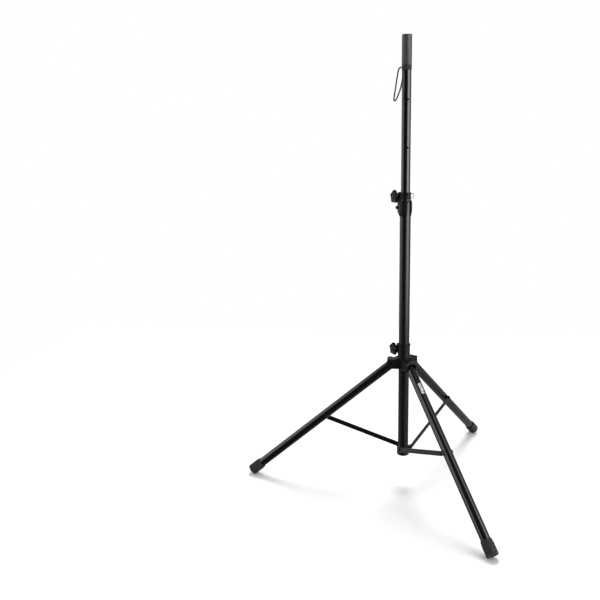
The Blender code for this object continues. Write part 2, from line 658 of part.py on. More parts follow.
def make_leg(number, side, gloss, plastic, rubber, steel):
    """One leg: tube, top plug, rubber foot, and the bolt and saddle that the brace is fixed to."""
    leg = make_frame(f"leg_hinge_{number}", (HINGE_REACH, 0, HINGE_HEIGHT), (0, -LEG_ANGLE, 0), side)
    tube_end = FOOT_FLOOR + GAP - LEG_LENGTH
    tube = make_piece(f"leg_tube_{number}", pipe(LEG_RADIUS, LEG_BORE, tube_end, LEG_TOP), leg, gloss)
    cut(tube, make_helper(f"leg_hinge_hole_{number}", rod(BOLT_HOLE, -0.03, 0.03), leg, (0, 0, 0), ALONG_Y))
    joint = (0, 0, -BRACE_AT)
    hole = rod(BRACE_PIN_RADIUS + GAP, -0.03, 0.03)
    cut(tube, make_helper(f"leg_brace_hole_{number}", hole, leg, joint, ALONG_Y))

    outline = [
        (0, -0.022),
        (LEG_BORE - GAP, -0.022),
        (LEG_BORE - GAP, LEG_TOP + GAP),
        (LEG_RADIUS - 0.0003, LEG_TOP + GAP),
        (LEG_RADIUS - 0.0008, LEG_TOP + PLUG_FLANGE),
        (0, LEG_TOP + PLUG_FLANGE),
    ]
    plug = make_piece(f"leg_top_plug_{number}", turned(outline), leg, plastic)
    cut(plug, make_helper(f"plug_hole_{number}", rod(BOLT_HOLE, -0.03, 0.03), leg, (0, 0, 0), ALONG_Y))

    cap = FOOT_LENGTH - LEG_LENGTH
    outline = [
        (0, -LEG_LENGTH),
        (FOOT_RADIUS, -LEG_LENGTH),
        (FOOT_RADIUS, cap - 0.012),
        (FOOT_RADIUS - 0.0012, cap - 0.010),
        (FOOT_RADIUS - 0.0018, cap - 0.001),
        (FOOT_RADIUS - 0.0028, cap),
        (LEG_RADIUS + SLIDE_GAP, cap),
        (LEG_RADIUS + SLIDE_GAP, FOOT_FLOOR - LEG_LENGTH),
        (0, FOOT_FLOOR - LEG_LENGTH),
    ]
    foot = make_piece(f"foot_{number}", turned(outline), leg, rubber)
    half = 0.06
    below = [
        (FOOT_CENTRE - half, -half),
        (FOOT_CENTRE + half, -half),
        (FOOT_CENTRE + half, 0),
        (FOOT_CENTRE - half, 0),
    ]
    cut(foot, make_helper(f"floor_{number}", slab(below, -half, half), side))

    block = rod(0.009, -BRACE_INNER + GAP, -LEG_RADIUS * 0.8, 24)
    saddle = make_piece(f"brace_saddle_{number}", block, leg, plastic, joint, ALONG_Y)
    round_seat = rod(LEG_RADIUS + GAP, -BRACE_AT - 0.03, -BRACE_AT + 0.03, ROUND_STEPS)
    cut(saddle, make_helper(f"saddle_seat_{number}", round_seat, leg))
    hole = rod(BRACE_PIN_RADIUS + GAP, -0.03, 0.03)
    cut(saddle, make_helper(f"saddle_hole_{number}", hole, leg, joint, ALONG_Y))
    head = (LEG_RADIUS + GAP, LEG_RADIUS + 0.0045)
    ends = (-BRACE_INNER + GAP, LEG_RADIUS + 0.002)
    bolt(f"leg_brace_bolt_{number}", leg, steel, joint, ends, [head], BRACE_PIN_RADIUS, 0.0058)


def make_brace(number, side, gloss, steel):
    """A flat strip from the hub pin to the leg, and the nut at its outer end."""
    place = (HUB_PIN_REACH, 0, HUB_PIN_HEIGHT)
    brace = make_frame(f"brace_hinge_{number}", place, (0, -BRACE_RISE, 0), side)
    outline = arc((0, 0), BRACE_HALF_WIDTH, 90, 270, 10)
    outline += arc((BRACE_LENGTH, 0), BRACE_HALF_WIDTH, -90, 90, 10)
    strip = make_piece(f"brace_{number}", slab(outline, -BRACE_OUTER, -BRACE_INNER), brace, gloss)
    outline = arc((0.020, 0), 0.0028, 90, 270, 6) + arc((BRACE_LENGTH - 0.020, 0), 0.0028, -90, 90, 6)
    bead = make_helper(f"brace_bead_{number}", slab(outline, -BRACE_OUTER - 0.0008, -BRACE_OUTER + 0.001), brace)
    bevel(bead, 0.0006)
    join(strip, bead)
    far = (BRACE_LENGTH, 0, 0)
    for name, spot in (("near", (0, 0, 0)), ("far", far)):
        hole = rod(BRACE_PIN_RADIUS + GAP, -0.05, 0)
        cut(strip, make_helper(f"brace_{name}_hole_{number}", hole, brace, spot, ALONG_Y))
    ends = (-BRACE_HEAD, -BRACE_INNER - GAP)
    bolt(f"brace_nut_{number}", brace, steel, far, ends, [(-BRACE_HEAD + 0.0008, -BRACE_OUTER - GAP)], 0.0029, 0.0058)


def make_label(side, paper):
    """A blank label wrapped part of the way round the front leg's tube."""
    leg = make_frame("label_leg", (HINGE_REACH, 0, HINGE_HEIGHT), (0, -LEG_ANGLE, 0), side)
    inner = LEG_RADIUS + GAP
    outline = arc((0, 0), inner, -32, 14, 8) + arc((0, 0), inner + 0.0004, 14, -32, 8)
    label = slab(outline, 0.073, 0.122)
    make_piece("label_blank", label, leg, paper, (0, 0, 0), ALONG_Y)


def main():
    clear_scene()
    gloss = make_material("black_gloss_paint", (0.012, 0.012, 0.013), 0.22, 0.0)
    satin = make_material("black_satin_paint", (0.014, 0.014, 0.015), 0.35, 0.0)
    plastic = make_material("dark_plastic", (0.022, 0.022, 0.026), 0.45, 0.0)
    grey_plastic = make_material("grey_plastic", (0.045, 0.045, 0.047), 0.5, 0.0)
    rubber = make_material("black_rubber", (0.015, 0.015, 0.015), 0.7, 0.0)
    steel = make_material("black_steel", (0.03, 0.03, 0.03), 0.35, 0.8)
    bright = make_material("bright_steel", (0.6, 0.6, 0.62), 0.25, 1.0)
    webbing = make_material("black_webbing", (0.02, 0.02, 0.02), 0.8, 0.0)
    paper = make_material("label_paper", (0.75, 0.75, 0.75), 0.5, 0.0)

    stand = make_frame("stand", (AXIS_X, 0, 0))
    sides = [
        make_frame(f"leg_side_{number}", (0, 0, 0), (0, 0, direction), stand)
        for number, direction in enumerate(LEG_DIRECTIONS, 1)
    ]
    ear_side = make_frame("ear_side", (0, 0, 0), (0, 0, EAR_DIRECTION), stand)

    make_column(stand, satin, plastic)
    make_hub(stand, sides, satin, steel)
    make_pole(stand, gloss, plastic)
    make_sleeve(stand, grey_plastic)
    make_strap(stand, webbing)
    make_clamp(stand, ear_side, plastic, steel)
    make_knob("clamp_knob", ear_side, EAR_BOLT_REACH, CLAMP_BOLT_HEIGHT, plastic)
    make_safety_pin(stand, bright)
    make_housing(stand, sides, ear_side, plastic, steel)
    make_knob("housing_knob", ear_side, EAR_BOLT_REACH, HOUSING_BOLT_HEIGHT, plastic)
    for number, side in enumerate(sides, 1):
        make_leg(number, side, gloss, plastic, rubber, steel)
        make_brace(number, side, satin, steel)
    make_label(sides[1], paper)


main()
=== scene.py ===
"""Looks for a folding speaker tripod stand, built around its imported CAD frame."""

import json
import math

import bmesh
import bpy
from bpy.props import FloatProperty, IntProperty, PointerProperty
from bpy.types import Operator, Panel, PropertyGroup
from mathutils import Matrix, Vector


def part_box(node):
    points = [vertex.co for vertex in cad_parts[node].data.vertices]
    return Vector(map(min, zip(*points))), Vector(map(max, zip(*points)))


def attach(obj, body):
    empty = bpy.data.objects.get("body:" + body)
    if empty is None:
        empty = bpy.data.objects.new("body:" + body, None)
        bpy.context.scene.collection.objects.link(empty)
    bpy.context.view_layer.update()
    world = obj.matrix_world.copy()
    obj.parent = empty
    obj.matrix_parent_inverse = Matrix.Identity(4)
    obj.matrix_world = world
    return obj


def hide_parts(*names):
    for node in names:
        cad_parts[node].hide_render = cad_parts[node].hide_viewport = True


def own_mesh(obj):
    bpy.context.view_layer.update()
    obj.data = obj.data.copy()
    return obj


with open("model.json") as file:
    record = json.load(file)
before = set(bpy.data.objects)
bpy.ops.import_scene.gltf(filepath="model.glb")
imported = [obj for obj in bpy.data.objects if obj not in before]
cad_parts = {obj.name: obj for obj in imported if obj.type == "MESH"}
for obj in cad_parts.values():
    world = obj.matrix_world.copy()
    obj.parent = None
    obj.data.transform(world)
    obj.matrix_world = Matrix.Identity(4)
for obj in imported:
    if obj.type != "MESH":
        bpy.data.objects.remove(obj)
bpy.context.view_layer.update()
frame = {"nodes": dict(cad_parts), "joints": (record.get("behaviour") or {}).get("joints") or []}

bl_info = {
    "name": "Speaker Tripod Stand",
    "version": (1, 0, 0),
    "blender": (4, 5, 0),
    "location": "View3D > Sidebar > Tripod Stand",
    "description": "Builds the finished pieces of a folding speaker tripod stand",
    "category": "Object",
}

MM = 0.001
GAP = 0.3 * MM
LEGS = (1, 2, 3)
BOLT_HOLE = 4.4 * MM
HUB_HOLE = 3.3 * MM
WINDOW_BEARING = math.radians(313)

# The strap's middle line, from the column axis and from the sleeve's lower end, and what its flat side faces.
STRAP_FACING = Vector((-0.35, -0.94, 0))
STRAP_ROUTE = [
    (-0.0200, -0.0080, -0.0080),
    (-0.0290, -0.0100, -0.0160),
    (-0.0340, -0.0130, -0.0420),
    (-0.0395, -0.0170, -0.0800),
    (-0.0450, -0.0200, -0.1170),
    (-0.0440, -0.0215, -0.1265),
    (-0.0385, -0.0230, -0.1250),
    (-0.0300, -0.0245, -0.1080),
    (-0.0210, -0.0255, -0.0830),
    (-0.0150, -0.0250, -0.0550),
    (-0.0125, -0.0230, -0.0300),
    (-0.0120, -0.0195, -0.0110),
]

# The studio's panels as reflections see them: degrees to the right of the camera's side, and light.
PANEL_LIGHT = 8.0  # what a panel's full white stands for
LOW_LIGHT = 0.35
FLOOR_LIGHT = 0.82
PANELS = [
    (-180, 0.9),
    (-155, 0.4),
    (-142, 0.8),
    (-100, 1.7),
    (-62, 2.4),
    (-54, 0.02),
    (30, 0.02),
    (38, 7.0),
    (84, 6.0),
    (98, 0.5),
    (155, 0.3),
    (180, 0.9),
]

CEILING_PANELS = [
    (-180, 0.06),
    (50, 0.06),
    (66, 2.6),
    (92, 2.6),
    (108, 0.06),
    (180, 0.06),
]

# The wire ring, from the eye of the safety pin.
RING_ROUTE = [
    (0.0000, 0.0042),
    (0.0000, 0.0054),
    (0.0026, 0.0070),
    (0.0098, 0.0058),
    (0.0180, 0.0040),
    (0.0215, -0.0005),
    (0.0200, -0.0075),
    (0.0122, -0.0130),
    (0.0040, -0.0125),
    (0.0000, -0.0080),
    (0.0000, -0.0042),
]


# --- Places, read from the frame ---


def joint_of(name):
    return next(joint for joint in frame["joints"] if joint["name"] == name)


def middle_of(node):
    low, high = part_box(node)
    return (low + high) / 2


def half_width(node):
    """Half of a node's size along Y, which is the radius of an upright tube."""
    low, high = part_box(node)
    return (high.y - low.y) / 2


class Places:
    """The stand's main sizes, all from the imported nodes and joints."""

    def __init__(self):
        self.axis = Vector((middle_of("lower_tube").x, 0, 0))
        self.upright = Matrix.Translation(self.axis)
        self.column_radius = half_width("lower_tube")
        self.column_low, self.column_high = (corner.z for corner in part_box("lower_tube"))
        self.pole_radius = half_width("upper_tube")
        self.pole_low, self.pole_high = (corner.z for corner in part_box("upper_tube"))
        self.sleeve_low, self.sleeve_high = (corner.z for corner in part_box("adaptor_sleeve"))
        self.sleeve_radius = half_width("adaptor_sleeve")
        self.hub_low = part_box("bottom_hub")[0].z
        self.collar_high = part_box("leg_housing")[1].z
        self.clamp_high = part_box("clamp_casting")[1].z
        self.leg_radius = half_width("leg_tube_1")
        self.foot_radius = half_width("foot_1")
        self.hinges = [Vector(joint_of(f"leg_swing_{n}")["pos_m"]) for n in LEGS]
        self.across = [Vector(joint_of(f"leg_swing_{n}")["axis"]) for n in LEGS]
        self.hinge_height = self.hinges[0].z
        self.hinge_reach = self.reach(self.hinges[0])
        hub_pin = Vector(joint_of("brace_swing_1")["pos_m"])
        self.pin_height = hub_pin.z
        self.pin_reach = self.reach(hub_pin)
        self.clamp_bolt = Vector(joint_of("clamp_turn")["pos_m"])
        self.housing_bolt = Vector(joint_of("housing_turn")["pos_m"])
        self.bolt_axis = Vector(joint_of("clamp_turn")["axis"])
        self.pin_axis = Vector(joint_of("pin_pull")["axis"])
        self.pin_eye = Vector(joint_of("ring_swing")["pos_m"])

    def reach(self, point):
        """How far a point is from the column axis."""
        return (point - self.axis).xy.length

    def side(self, number):
        """The frame of a leg: X away from the column, Y along its hinge, Z up."""
        return side_frame(self.axis, self.across[number - 1])

    def hinge(self, number):
        return self.side(number) @ Matrix.Translation((self.hinge_reach, 0, self.hinge_height))

    def leg(self, number, sizes):
        """The frame of a leg's tube: its hinge, with -Z along the leg."""
        return self.hinge(number) @ Matrix.Rotation(-sizes.leg_angle, 4, "Y")

    def hub_pin(self, number):
        return self.side(number) @ Matrix.Translation((self.pin_reach, 0, self.pin_height))

    def ear_side(self):
        return side_frame(self.axis, self.bolt_axis)

    def pin_side(self, height):
        return facing_frame(self.axis, self.pin_axis) @ Matrix.Translation((0, 0, height))


def side_frame(origin, across):
    outward = Vector((across.y, -across.x, 0))
    turn = Matrix((outward, across, Vector((0, 0, 1)))).transposed().to_4x4()
    return Matrix.Translation(origin) @ turn


def facing_frame(origin, outward):
    """A frame with X along a horizontal direction."""
    return side_frame(origin, Vector((-outward.y, outward.x, 0)))


ALONG_Y = Matrix.Rotation(-math.pi / 2, 4, "X")
ALONG_X = Matrix.Rotation(math.pi / 2, 4, "Y")


def across(place, x, z):
    """A frame's point in its XZ plane, with Z turned along the frame's Y."""
    return place @ Matrix.Translation((x, 0, z)) @ ALONG_Y


# --- Shapes ---


def arc(centre, radius, start, end, steps):
    angles = [math.radians(start + (end - start) * i / steps) for i in range(steps + 1)]
    return [(centre[0] + radius * math.cos(a), centre[1] + radius * math.sin(a)) for a in angles]


def rectangle(left, right, low, high):
    return [(left, low), (right, low), (right, high), (left, high)]


def close_rings(shape, pairs, steps):
    """Faces between each pair of rings; a ring of one point is a pole."""
    for one, two in pairs:
        for k in range(steps):
            n = (k + 1) % steps
            corners = [one[k % len(one)], one[n % len(one)], two[n % len(two)], two[k % len(two)]]
            face = list(dict.fromkeys(corners))
            if len(face) > 2:
                shape.faces.new(face)


def turned(outline, steps=96):
    """A shape turned about Z from (radius, height) points; it is closed on the axis or on itself."""
    return lobed([(radius, height, 0) for radius, height in outline], 0, 0, steps)


def lobed(profile, lobes, depth, steps=180):
    """A turned shape whose rim rises in lobes. Each profile point is (radius, height, share of the lobes)."""
    shape = bmesh.new()
    rings = []
    for radius, height, share in profile:
        ring = []
        for k in range(steps if radius > 1e-7 else 1):
            angle = math.tau * k / steps
            wave = math.cos(lobes * angle)
            reach = radius + depth * share * (wave - 0.35 * (1 - wave * wave))
            ring.append(shape.verts.new((reach * math.cos(angle), reach * math.sin(angle), height)))
        rings.append(ring)
    pairs = list(zip(rings, rings[1:]))
    if profile[0][0] > 1e-7:
        pairs.append((rings[-1], rings[0]))
    close_rings(shape, pairs, steps)
    bmesh.ops.recalc_face_normals(shape, faces=shape.faces[:])
    return shape


def rod(radius, low, high, steps=48):
    return turned([(0, low), (radius, low), (radius, high), (0, high)], steps)


def rounded_pipe(outer, inner, low, high, edge, steps=96):
    """A tube with rounded outer edges at both ends."""
    outline = arc((outer - edge, low + edge), edge, -90, 0, 3)
    outline += arc((outer - edge, high - edge), edge, 0, 90, 3)
    return turned(outline + [(inner, high), (inner, low)], steps)


def slab(outline, low, high):
    """An outline in X and Z, extruded along Y."""
    shape = bmesh.new()
    near = [shape.verts.new((x, low, z)) for x, z in outline]
    far = [shape.verts.new((x, high, z)) for x, z in outline]
    shape.faces.new(near)
    shape.faces.new(far)
    for k in range(len(outline)):
        n = (k + 1) % len(outline)
        shape.faces.new((near[k], near[n], far[n], far[k]))
    bmesh.ops.recalc_face_normals(shape, faces=shape.faces[:])
    return shape


def smooth_line(points, steps, closed=False):
    """A Catmull-Rom line through the points."""
    points = [Vector(point) for point in points]
    count = len(points)
    line = []
    for i in range(count if closed else count - 1):
        if closed:
            a, b, c, d = (points[(i + k) % count] for k in (-1, 0, 1, 2))
        else:
            a, b, c, d = (points[min(max(i + k, 0), count - 1)] for k in (-1, 0, 1, 2))
        for step in range(steps):
            t = step / steps
            curve = (2 * a - 5 * b + 4 * c - d) * t * t + (3 * b - a - 3 * c + d) * t**3
            line.append(0.5 * (2 * b + (c - a) * t + curve))
    if not closed:
        line.append(points[-1])
    return line


def swept(line, section, facing, closed=False):
    """A section carried along a line, with UVs in metres: U along the line and V round the section."""
    shape = bmesh.new()
    uv = shape.loops.layers.uv.new("UVMap")
    rings = []
    count = len(line)
    for i, point in enumerate(line):
        before = line[(i - 1) % count] if closed else line[max(i - 1, 0)]
        after = line[(i + 1) % count] if closed else line[min(i + 1, count - 1)]
        along = (after - before).normalized()
        across = along.cross(facing).normalized()
        outward = across.cross(along)
        rings.append([shape.verts.new(point + across * u + outward * v) for u, v in section])
    pairs = list(zip(rings, rings[1:]))
    if closed:
        pairs.append((rings[-1], rings[0]))
    around = [0.0]
    for k in range(len(section)):
        n = (k + 1) % len(section)
        around.append(around[-1] + (Vector(section[n]) - Vector(section[k])).length)
    travelled = 0.0
    for one, two in pairs:
        step = (two[0].co - one[0].co).length
        for k in range(len(section)):
            n = (k + 1) % len(section)
            face = shape.faces.new((one[k], one[n], two[n], two[k]))
            spots = [
                (travelled, around[k]),
                (travelled, around[k + 1]),
                (travelled + step, around[k + 1]),
                (travelled + step, around[k]),
            ]
            for loop, spot in zip(face.loops, spots):
                loop[uv].uv = spot
        travelled += step
    if not closed:
        shape.faces.new(rings[0])
        shape.faces.new(rings[-1])
    bmesh.ops.recalc_face_normals(shape, faces=shape.faces[:])
    return shape


def to_object(name, shape, place=Matrix.Identity(4)):
    """An object from a bmesh, with its place in its vertices."""
    shape.transform(place)
    mesh = bpy.data.meshes.new(name)
    shape.to_mesh(mesh)
    shape.free()
    made = bpy.data.objects.new(name, mesh)
    bpy.context.scene.collection.objects.link(made)
    return made


def bake(piece):
    """Applies the piece's modifiers."""
    graph = bpy.context.evaluated_depsgraph_get()
    mesh = bpy.data.meshes.new_from_object(piece.evaluated_get(graph), depsgraph=graph)
    piece.modifiers.clear()
    piece.data = mesh
    mesh.name = piece.name


def add_bevel(piece, width, segments=3, angle=35):
    added = piece.modifiers.new("edges", "BEVEL")
    added.width = width
    added.segments = segments
    added.limit_method = "ANGLE"
    added.angle_limit = math.radians(angle)


class Moulding:
    """A piece under way: shapes are joined to it and cut from it, in order."""

    def __init__(self, name, shape, place):
        self.piece = to_object(name, shape, place)
        self.helpers = []

    def join(self, shape, place, edge=0.0, segments=3, angle=35):
        """Joins a shape to the piece, with its edges rounded first."""
        self.add("UNION", shape, place)
        if edge:
            add_bevel(self.helpers[-1], edge, segments, angle)

    def cut(self, shape, place):
        self.add("DIFFERENCE", shape, place)

    def add(self, operation, shape, place):
        helper = to_object("helper", shape, place)
        self.helpers.append(helper)
        added = self.piece.modifiers.new(operation, "BOOLEAN")
        added.operation = operation
        added.solver = "MANIFOLD"
        added.object = helper

    def finish(self, voxel=0.0):
        """Runs the Booleans. With a voxel size, sharp joins get the small fillets of a moulding."""
        bake(self.piece)
        for helper in self.helpers:
            bpy.data.objects.remove(helper)
        if voxel:
            soften(self.piece, voxel)
        return self.piece


def soften(piece, voxel):
    """An even remesh, then smoothing."""
    remesh = piece.modifiers.new("even", "REMESH")
    remesh.mode = "VOXEL"
    remesh.voxel_size = voxel
    smooth = piece.modifiers.new("fillets", "SMOOTH")
    smooth.factor = 0.5
    smooth.iterations = 3
    bake(piece)


def merge(name, pieces):
    """One object from several."""
    shape = bmesh.new()
    for piece in pieces:
        shape.from_mesh(piece.data)
        bpy.data.objects.remove(piece)
    return to_object(name, shape)


def settle(piece, finish, body, replaced=(), sharp=35):
    """Smooths, paints and attaches a finished piece."""
    piece.data.materials.clear()
    piece.data.materials.append(finish)
    for face in piece.data.polygons:
        face.use_smooth = True
    piece.data.set_sharp_from_angle(angle=math.radians(sharp))
    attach(piece, body)
    if replaced:
        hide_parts(*replaced)


# --- Materials ---


def srgb(code):
    """Linear colour from a hex code."""
    channels = [int(code[i : i + 2], 16) / 255 for i in (1, 3, 5)]
    return tuple(c / 12.92 if c <= 0.04045 else ((c + 0.055) / 1.055) ** 2.4 for c in channels) + (1,)


def add_node(tree, kind, given=None, **settings):
    """Adds a node with its settings. Its inputs are given as values, or as the outputs that lead to them."""
    node = tree.nodes.new(kind)
    for name, value in settings.items():
        setattr(node, name, value)
    for name, value in (given or {}).items():
        if isinstance(value, bpy.types.NodeSocket):
            tree.links.new(value, node.inputs[name])
        else:
            node.inputs[name].default_value = value
    return node


class Finish:
    """A material with a Principled shader and short calls for the nodes around it."""

    def __init__(self, name, color, roughness, metallic=0.0, specular=0.5):
        self.material = bpy.data.materials.new(name)
        self.material.use_nodes = True
        self.tree = self.material.node_tree
        self.shader = self.tree.nodes["Principled BSDF"]
        self.shader.inputs["Base Color"].default_value = srgb(color)
        self.shader.inputs["Roughness"].default_value = roughness
        self.shader.inputs["Metallic"].default_value = metallic
        self.shader.inputs["Specular IOR Level"].default_value = specular
        self.coordinates = add_node(self.tree, "ShaderNodeTexCoord").outputs
        self.relief = {}

    def noise(self, grain, detail=4.0, stretch=(1, 1, 1)):
        """Noise whose grains are the given size in metres."""
        given = {"Vector": self.coordinates["Object"], "Scale": stretch}
        spot = add_node(self.tree, "ShaderNodeMapping", given).outputs["Vector"]
        given = {"Vector": spot, "Scale": 1 / grain, "Detail": detail}
        return add_node(self.tree, "ShaderNodeTexNoise", given).outputs["Fac"]

    def spread(self, value, low, high, start=0.3, end=0.7):
        """Maps a value from start and end to low and high."""
        given = {"Value": value, "From Min": start, "From Max": end, "To Min": low, "To Max": high}
        return add_node(self.tree, "ShaderNodeMapRange", given).outputs["Result"]

    def tint(self, value, dark, light):
        """Mixes the colour between two hex codes."""
        given = {0: value, 6: srgb(dark), 7: srgb(light)}
        mixed = add_node(self.tree, "ShaderNodeMix", given, data_type="RGBA").outputs[2]
        self.tree.links.new(mixed, self.shader.inputs["Base Color"])

    def rough(self, value, low, high):
        self.tree.links.new(self.spread(value, low, high), self.shader.inputs["Roughness"])

    def bump(self, value, depth, strength=1.0):
        """Adds relief of the given depth in metres."""
        given = {"Height": value, "Distance": depth, "Strength": strength, **self.relief}
        self.relief["Normal"] = add_node(self.tree, "ShaderNodeBump", given).outputs["Normal"]
        self.tree.links.new(self.relief["Normal"], self.shader.inputs["Normal"])


def gloss_paint():
    """Baked gloss paint over steel tube: faint orange peel and long handling marks."""
    made = Finish("gloss_black_paint", "#0c0c0d", 0.18)
    made.bump(made.noise(0.0016, 2.0), 0.000004)
    marks = made.noise(0.004, 6.0, (1, 1, 0.06))
    made.rough(marks, 0.15, 0.22)
    made.tint(made.noise(0.05, 3.0), "#0b0b0c", "#121213")
    return made.material


def satin_paint():
    """Satin powder coat: a finer, duller orange peel."""
    made = Finish("satin_black_powder_coat", "#0e0e0f", 0.28, specular=0.36)
    made.bump(made.noise(0.0009, 3.0), 0.000006)
    made.rough(made.noise(0.006, 5.0, (1, 1, 0.1)), 0.24, 0.33)
    made.tint(made.noise(0.04, 3.0), "#0e0e0f", "#151516")
    return made.material


def moulded_plastic():
    """Glass-filled nylon with a spark-eroded grain."""
    made = Finish("grained_black_nylon", "#0f0f13", 0.42, specular=0.17)
    made.bump(made.noise(0.0007, 2.0), 0.000012)
    made.bump(made.noise(0.012, 2.0), 0.0001, 0.5)
    made.rough(made.noise(0.0025, 4.0), 0.36, 0.5)
    made.tint(made.noise(0.02, 3.0), "#0d0d11", "#131318")
    return made.material


def sleeve_plastic():
    """The grey-black sleeve, scuffed lengthwise where sockets slide over it."""
    made = Finish("scuffed_grey_sleeve", "#36363a", 0.48)
    scuffs = made.noise(0.0018, 8.0, (1, 1, 0.04))
    made.rough(scuffs, 0.40, 0.60)
    made.tint(scuffs, "#313134", "#3e3e42")
    made.bump(made.noise(0.0006, 2.0), 0.00002)
    return made.material


def foot_rubber():
    """Moulded rubber, matt and dusty from floors."""
    made = Finish("black_moulded_rubber", "#141414", 0.72)
    made.bump(made.noise(0.0008, 3.0), 0.00004)
    made.rough(made.noise(0.01, 5.0), 0.62, 0.82)
    made.tint(made.noise(0.015, 5.0), "#111111", "#1c1c1b")
    return made.material


def black_steel():
    """Black zinc on bolts, with a little bare steel showing through."""
    made = Finish("black_zinc_steel", "#1c1c1e", 0.36, 0.75)
    wear = made.noise(0.002, 8.0)
    made.tint(made.spread(wear, 0.0, 1.0, 0.55, 0.75), "#19191b", "#3a3a3c")
    made.rough(wear, 0.28, 0.46)
    return made.material


def bright_steel():
    """Nickel plated wire, with a sharp grey shine."""
    made = Finish("nickel_plated_steel", "#4c4c54", 0.26, 1.0)
    made.rough(made.noise(0.0008, 6.0), 0.2, 0.34)
    return made.material


def strap_webbing():
    """Woven tape: threads along and across it, from its own UVs in metres."""
    made = Finish("woven_black_tape", "#121213", 0.85)
    for direction, pitch in (("X", 0.0011), ("Y", 0.0008)):
        given = {"Vector": made.coordinates["UV"], "Scale": math.tau / (pitch * 20), "Distortion": 0.4}
        wave = add_node(made.tree, "ShaderNodeTexWave", given, bands_direction=direction)
        made.bump(wave.outputs["Fac"], 0.00012, 0.8)
    made.tint(made.noise(0.0012, 3.0), "#0e0e0f", "#1b1b1d")
    made.shader.inputs["Sheen Weight"].default_value = 0.3
    return made.material


def label_paper():
    """Blank laminated label with pale grey printed panels and no lettering."""
    made = Finish("blank_laminated_label", "#c4c4c6", 0.35)
    made.tint(made.spread(made.noise(0.006, 1.0), 0.0, 1.0, 0.48, 0.52), "#8e8e92", "#d8d8da")
    made.bump(made.noise(0.002, 2.0), 0.00002)
    return made.material


def studio_floor():
    """Matt white paper, which shows only the soft shadows."""
    made = Finish("white_studio_floor", "#f4f4f4", 0.65, specular=0.0)
    made.rough(made.noise(0.4, 2.0), 0.6, 0.7)
    return made.material


# --- Pieces ---


def size_of(name, millimetres, description):
    return FloatProperty(name=name, description=description, unit="LENGTH", default=millimetres * MM)


def metres_of(name, value, description):
    return FloatProperty(name=name, description=description, unit="LENGTH", default=value)


def angle_of(name, degrees, description):
    return FloatProperty(name=name, description=description, subtype="ANGLE", default=math.radians(degrees))


class StandSizes(PropertyGroup):
    """Sizes that the frame doesn't give by itself."""

    leg_angle: angle_of("Leg angle", 50, "Between a leg and the column")
    leg_top: size_of("Tube past the hinge", 12.5, "From a leg's hinge to the tube's upper end")
    ear_half_width: size_of("Half width of the ears", 13, "From the slit's middle to an ear's outer face")
    slit: size_of("Slit", 3, "Opening between the ears of a clamp")
    pitch: size_of("Pin hole pitch", 175, "Between the pole's cross holes")
    voxel: size_of("Moulding detail", 0.9, "Grid of the mouldings, which sets their fillets")
    strap_width: size_of("Strap width", 5.5, "Width of the hanging tape")
    strap_thickness: size_of("Strap thickness", 1.2, "Thickness of the hanging tape")
    knob_lobes: IntProperty(name="Lobes of a knob", description="Grips round a knob", default=5, min=3)


class StageSizes(PropertyGroup):
    """The camera, in the frame of the column axis, and the lights."""

    lens: FloatProperty(name="Focal length", description="In millimetres", default=45.6)
    camera_side: metres_of("Camera side", 0.0712, "To the right of the column axis")
    camera_back: metres_of("Camera distance", 2.944, "In front of the column axis")
    camera_height: metres_of("Camera height", 1.4671, "Above the floor")
    heading: angle_of("Heading", 9.423, "Turn of the camera to the left")
    tilt: angle_of("Tilt", 13.186, "Turn of the camera down")
    roll: angle_of("Roll", -1.2754, "Turn of the camera about its view")
    light_strength: FloatProperty(name="Overhead light", description="Its strength", default=1.9)
    light_width: angle_of("Width of the light", 24, "Softness of the shadows")
    light_lean: angle_of("Lean of the light", -32, "From behind the stand")


class StandOperator(Operator):
    """Shared by the operators: the frame's places and the panel's sizes."""

    bl_options = {"REGISTER", "UNDO"}

    def execute(self, context):
        self.build(Places(), context.scene.stand_sizes)
        return {"FINISHED"}


class STAND_OT_pole(StandOperator):
    """The gloss pole with its cross holes, and the sleeve on its top"""

    bl_idname = "stand.pole"
    bl_label = "Pole and sleeve"

    def build(self, at, sizes):
        r = at.pole_radius
        tube = rounded_pipe(r, r - 1.5 * MM, at.pole_low, at.pole_high, 0.4 * MM, 128)
        pole = Moulding("pole_tube", tube, at.upright)
        rims = []
        for row in range(3):
            place = at.pin_side(at.pin_eye.z + row * sizes.pitch) @ ALONG_X
            pole.cut(rod(3.1 * MM, -0.04, 0.04, 32), place)
            # The pressed rim stands a little out of the tube's curved face.
            rim = [
                (3.0 * MM, r - 1.2 * MM),
                (4.0 * MM, r - 1.2 * MM),
                (3.9 * MM, r - 0.1 * MM),
                (3.5 * MM, r + 0.15 * MM),
                (3.0 * MM, r - 0.1 * MM),
            ]
            rims.append(to_object(f"rim_{row}", turned(rim, 32), place))
        settle(pole.finish(), gloss_paint(), "pole", ["upper_tube"])
        settle(merge("pin_hole_rims", rims), black_steel(), "pole")

        inner = r + 0.35 * MM
        low, high, r = at.sleeve_low, at.sleeve_high, at.sleeve_radius
        groove = high - 13 * MM
        bottom = r - 0.32 * MM
        outline = [(0, high - 2 * MM), (inner, high - 2 * MM), (inner, low)]
        outline += arc((r - 0.35 * MM, low + 0.35 * MM), 0.35 * MM, -90, 0, 3)
        outline += [(r, groove - 0.9 * MM), (bottom, groove - 0.5 * MM), (bottom, groove + 0.5 * MM)]
        outline += [(r, groove + 0.9 * MM)]
        outline += arc((r - 1.6 * MM, high - 1.6 * MM), 1.6 * MM, 0, 90, 6)
        outline += [(9 * MM, high), (8.4 * MM, high - 0.7 * MM), (0, high - 0.7 * MM)]
        sleeve = to_object("socket_sleeve", turned(outline, 128), at.upright)
        settle(sleeve, sleeve_plastic(), "sleeve", ["adaptor_sleeve"])


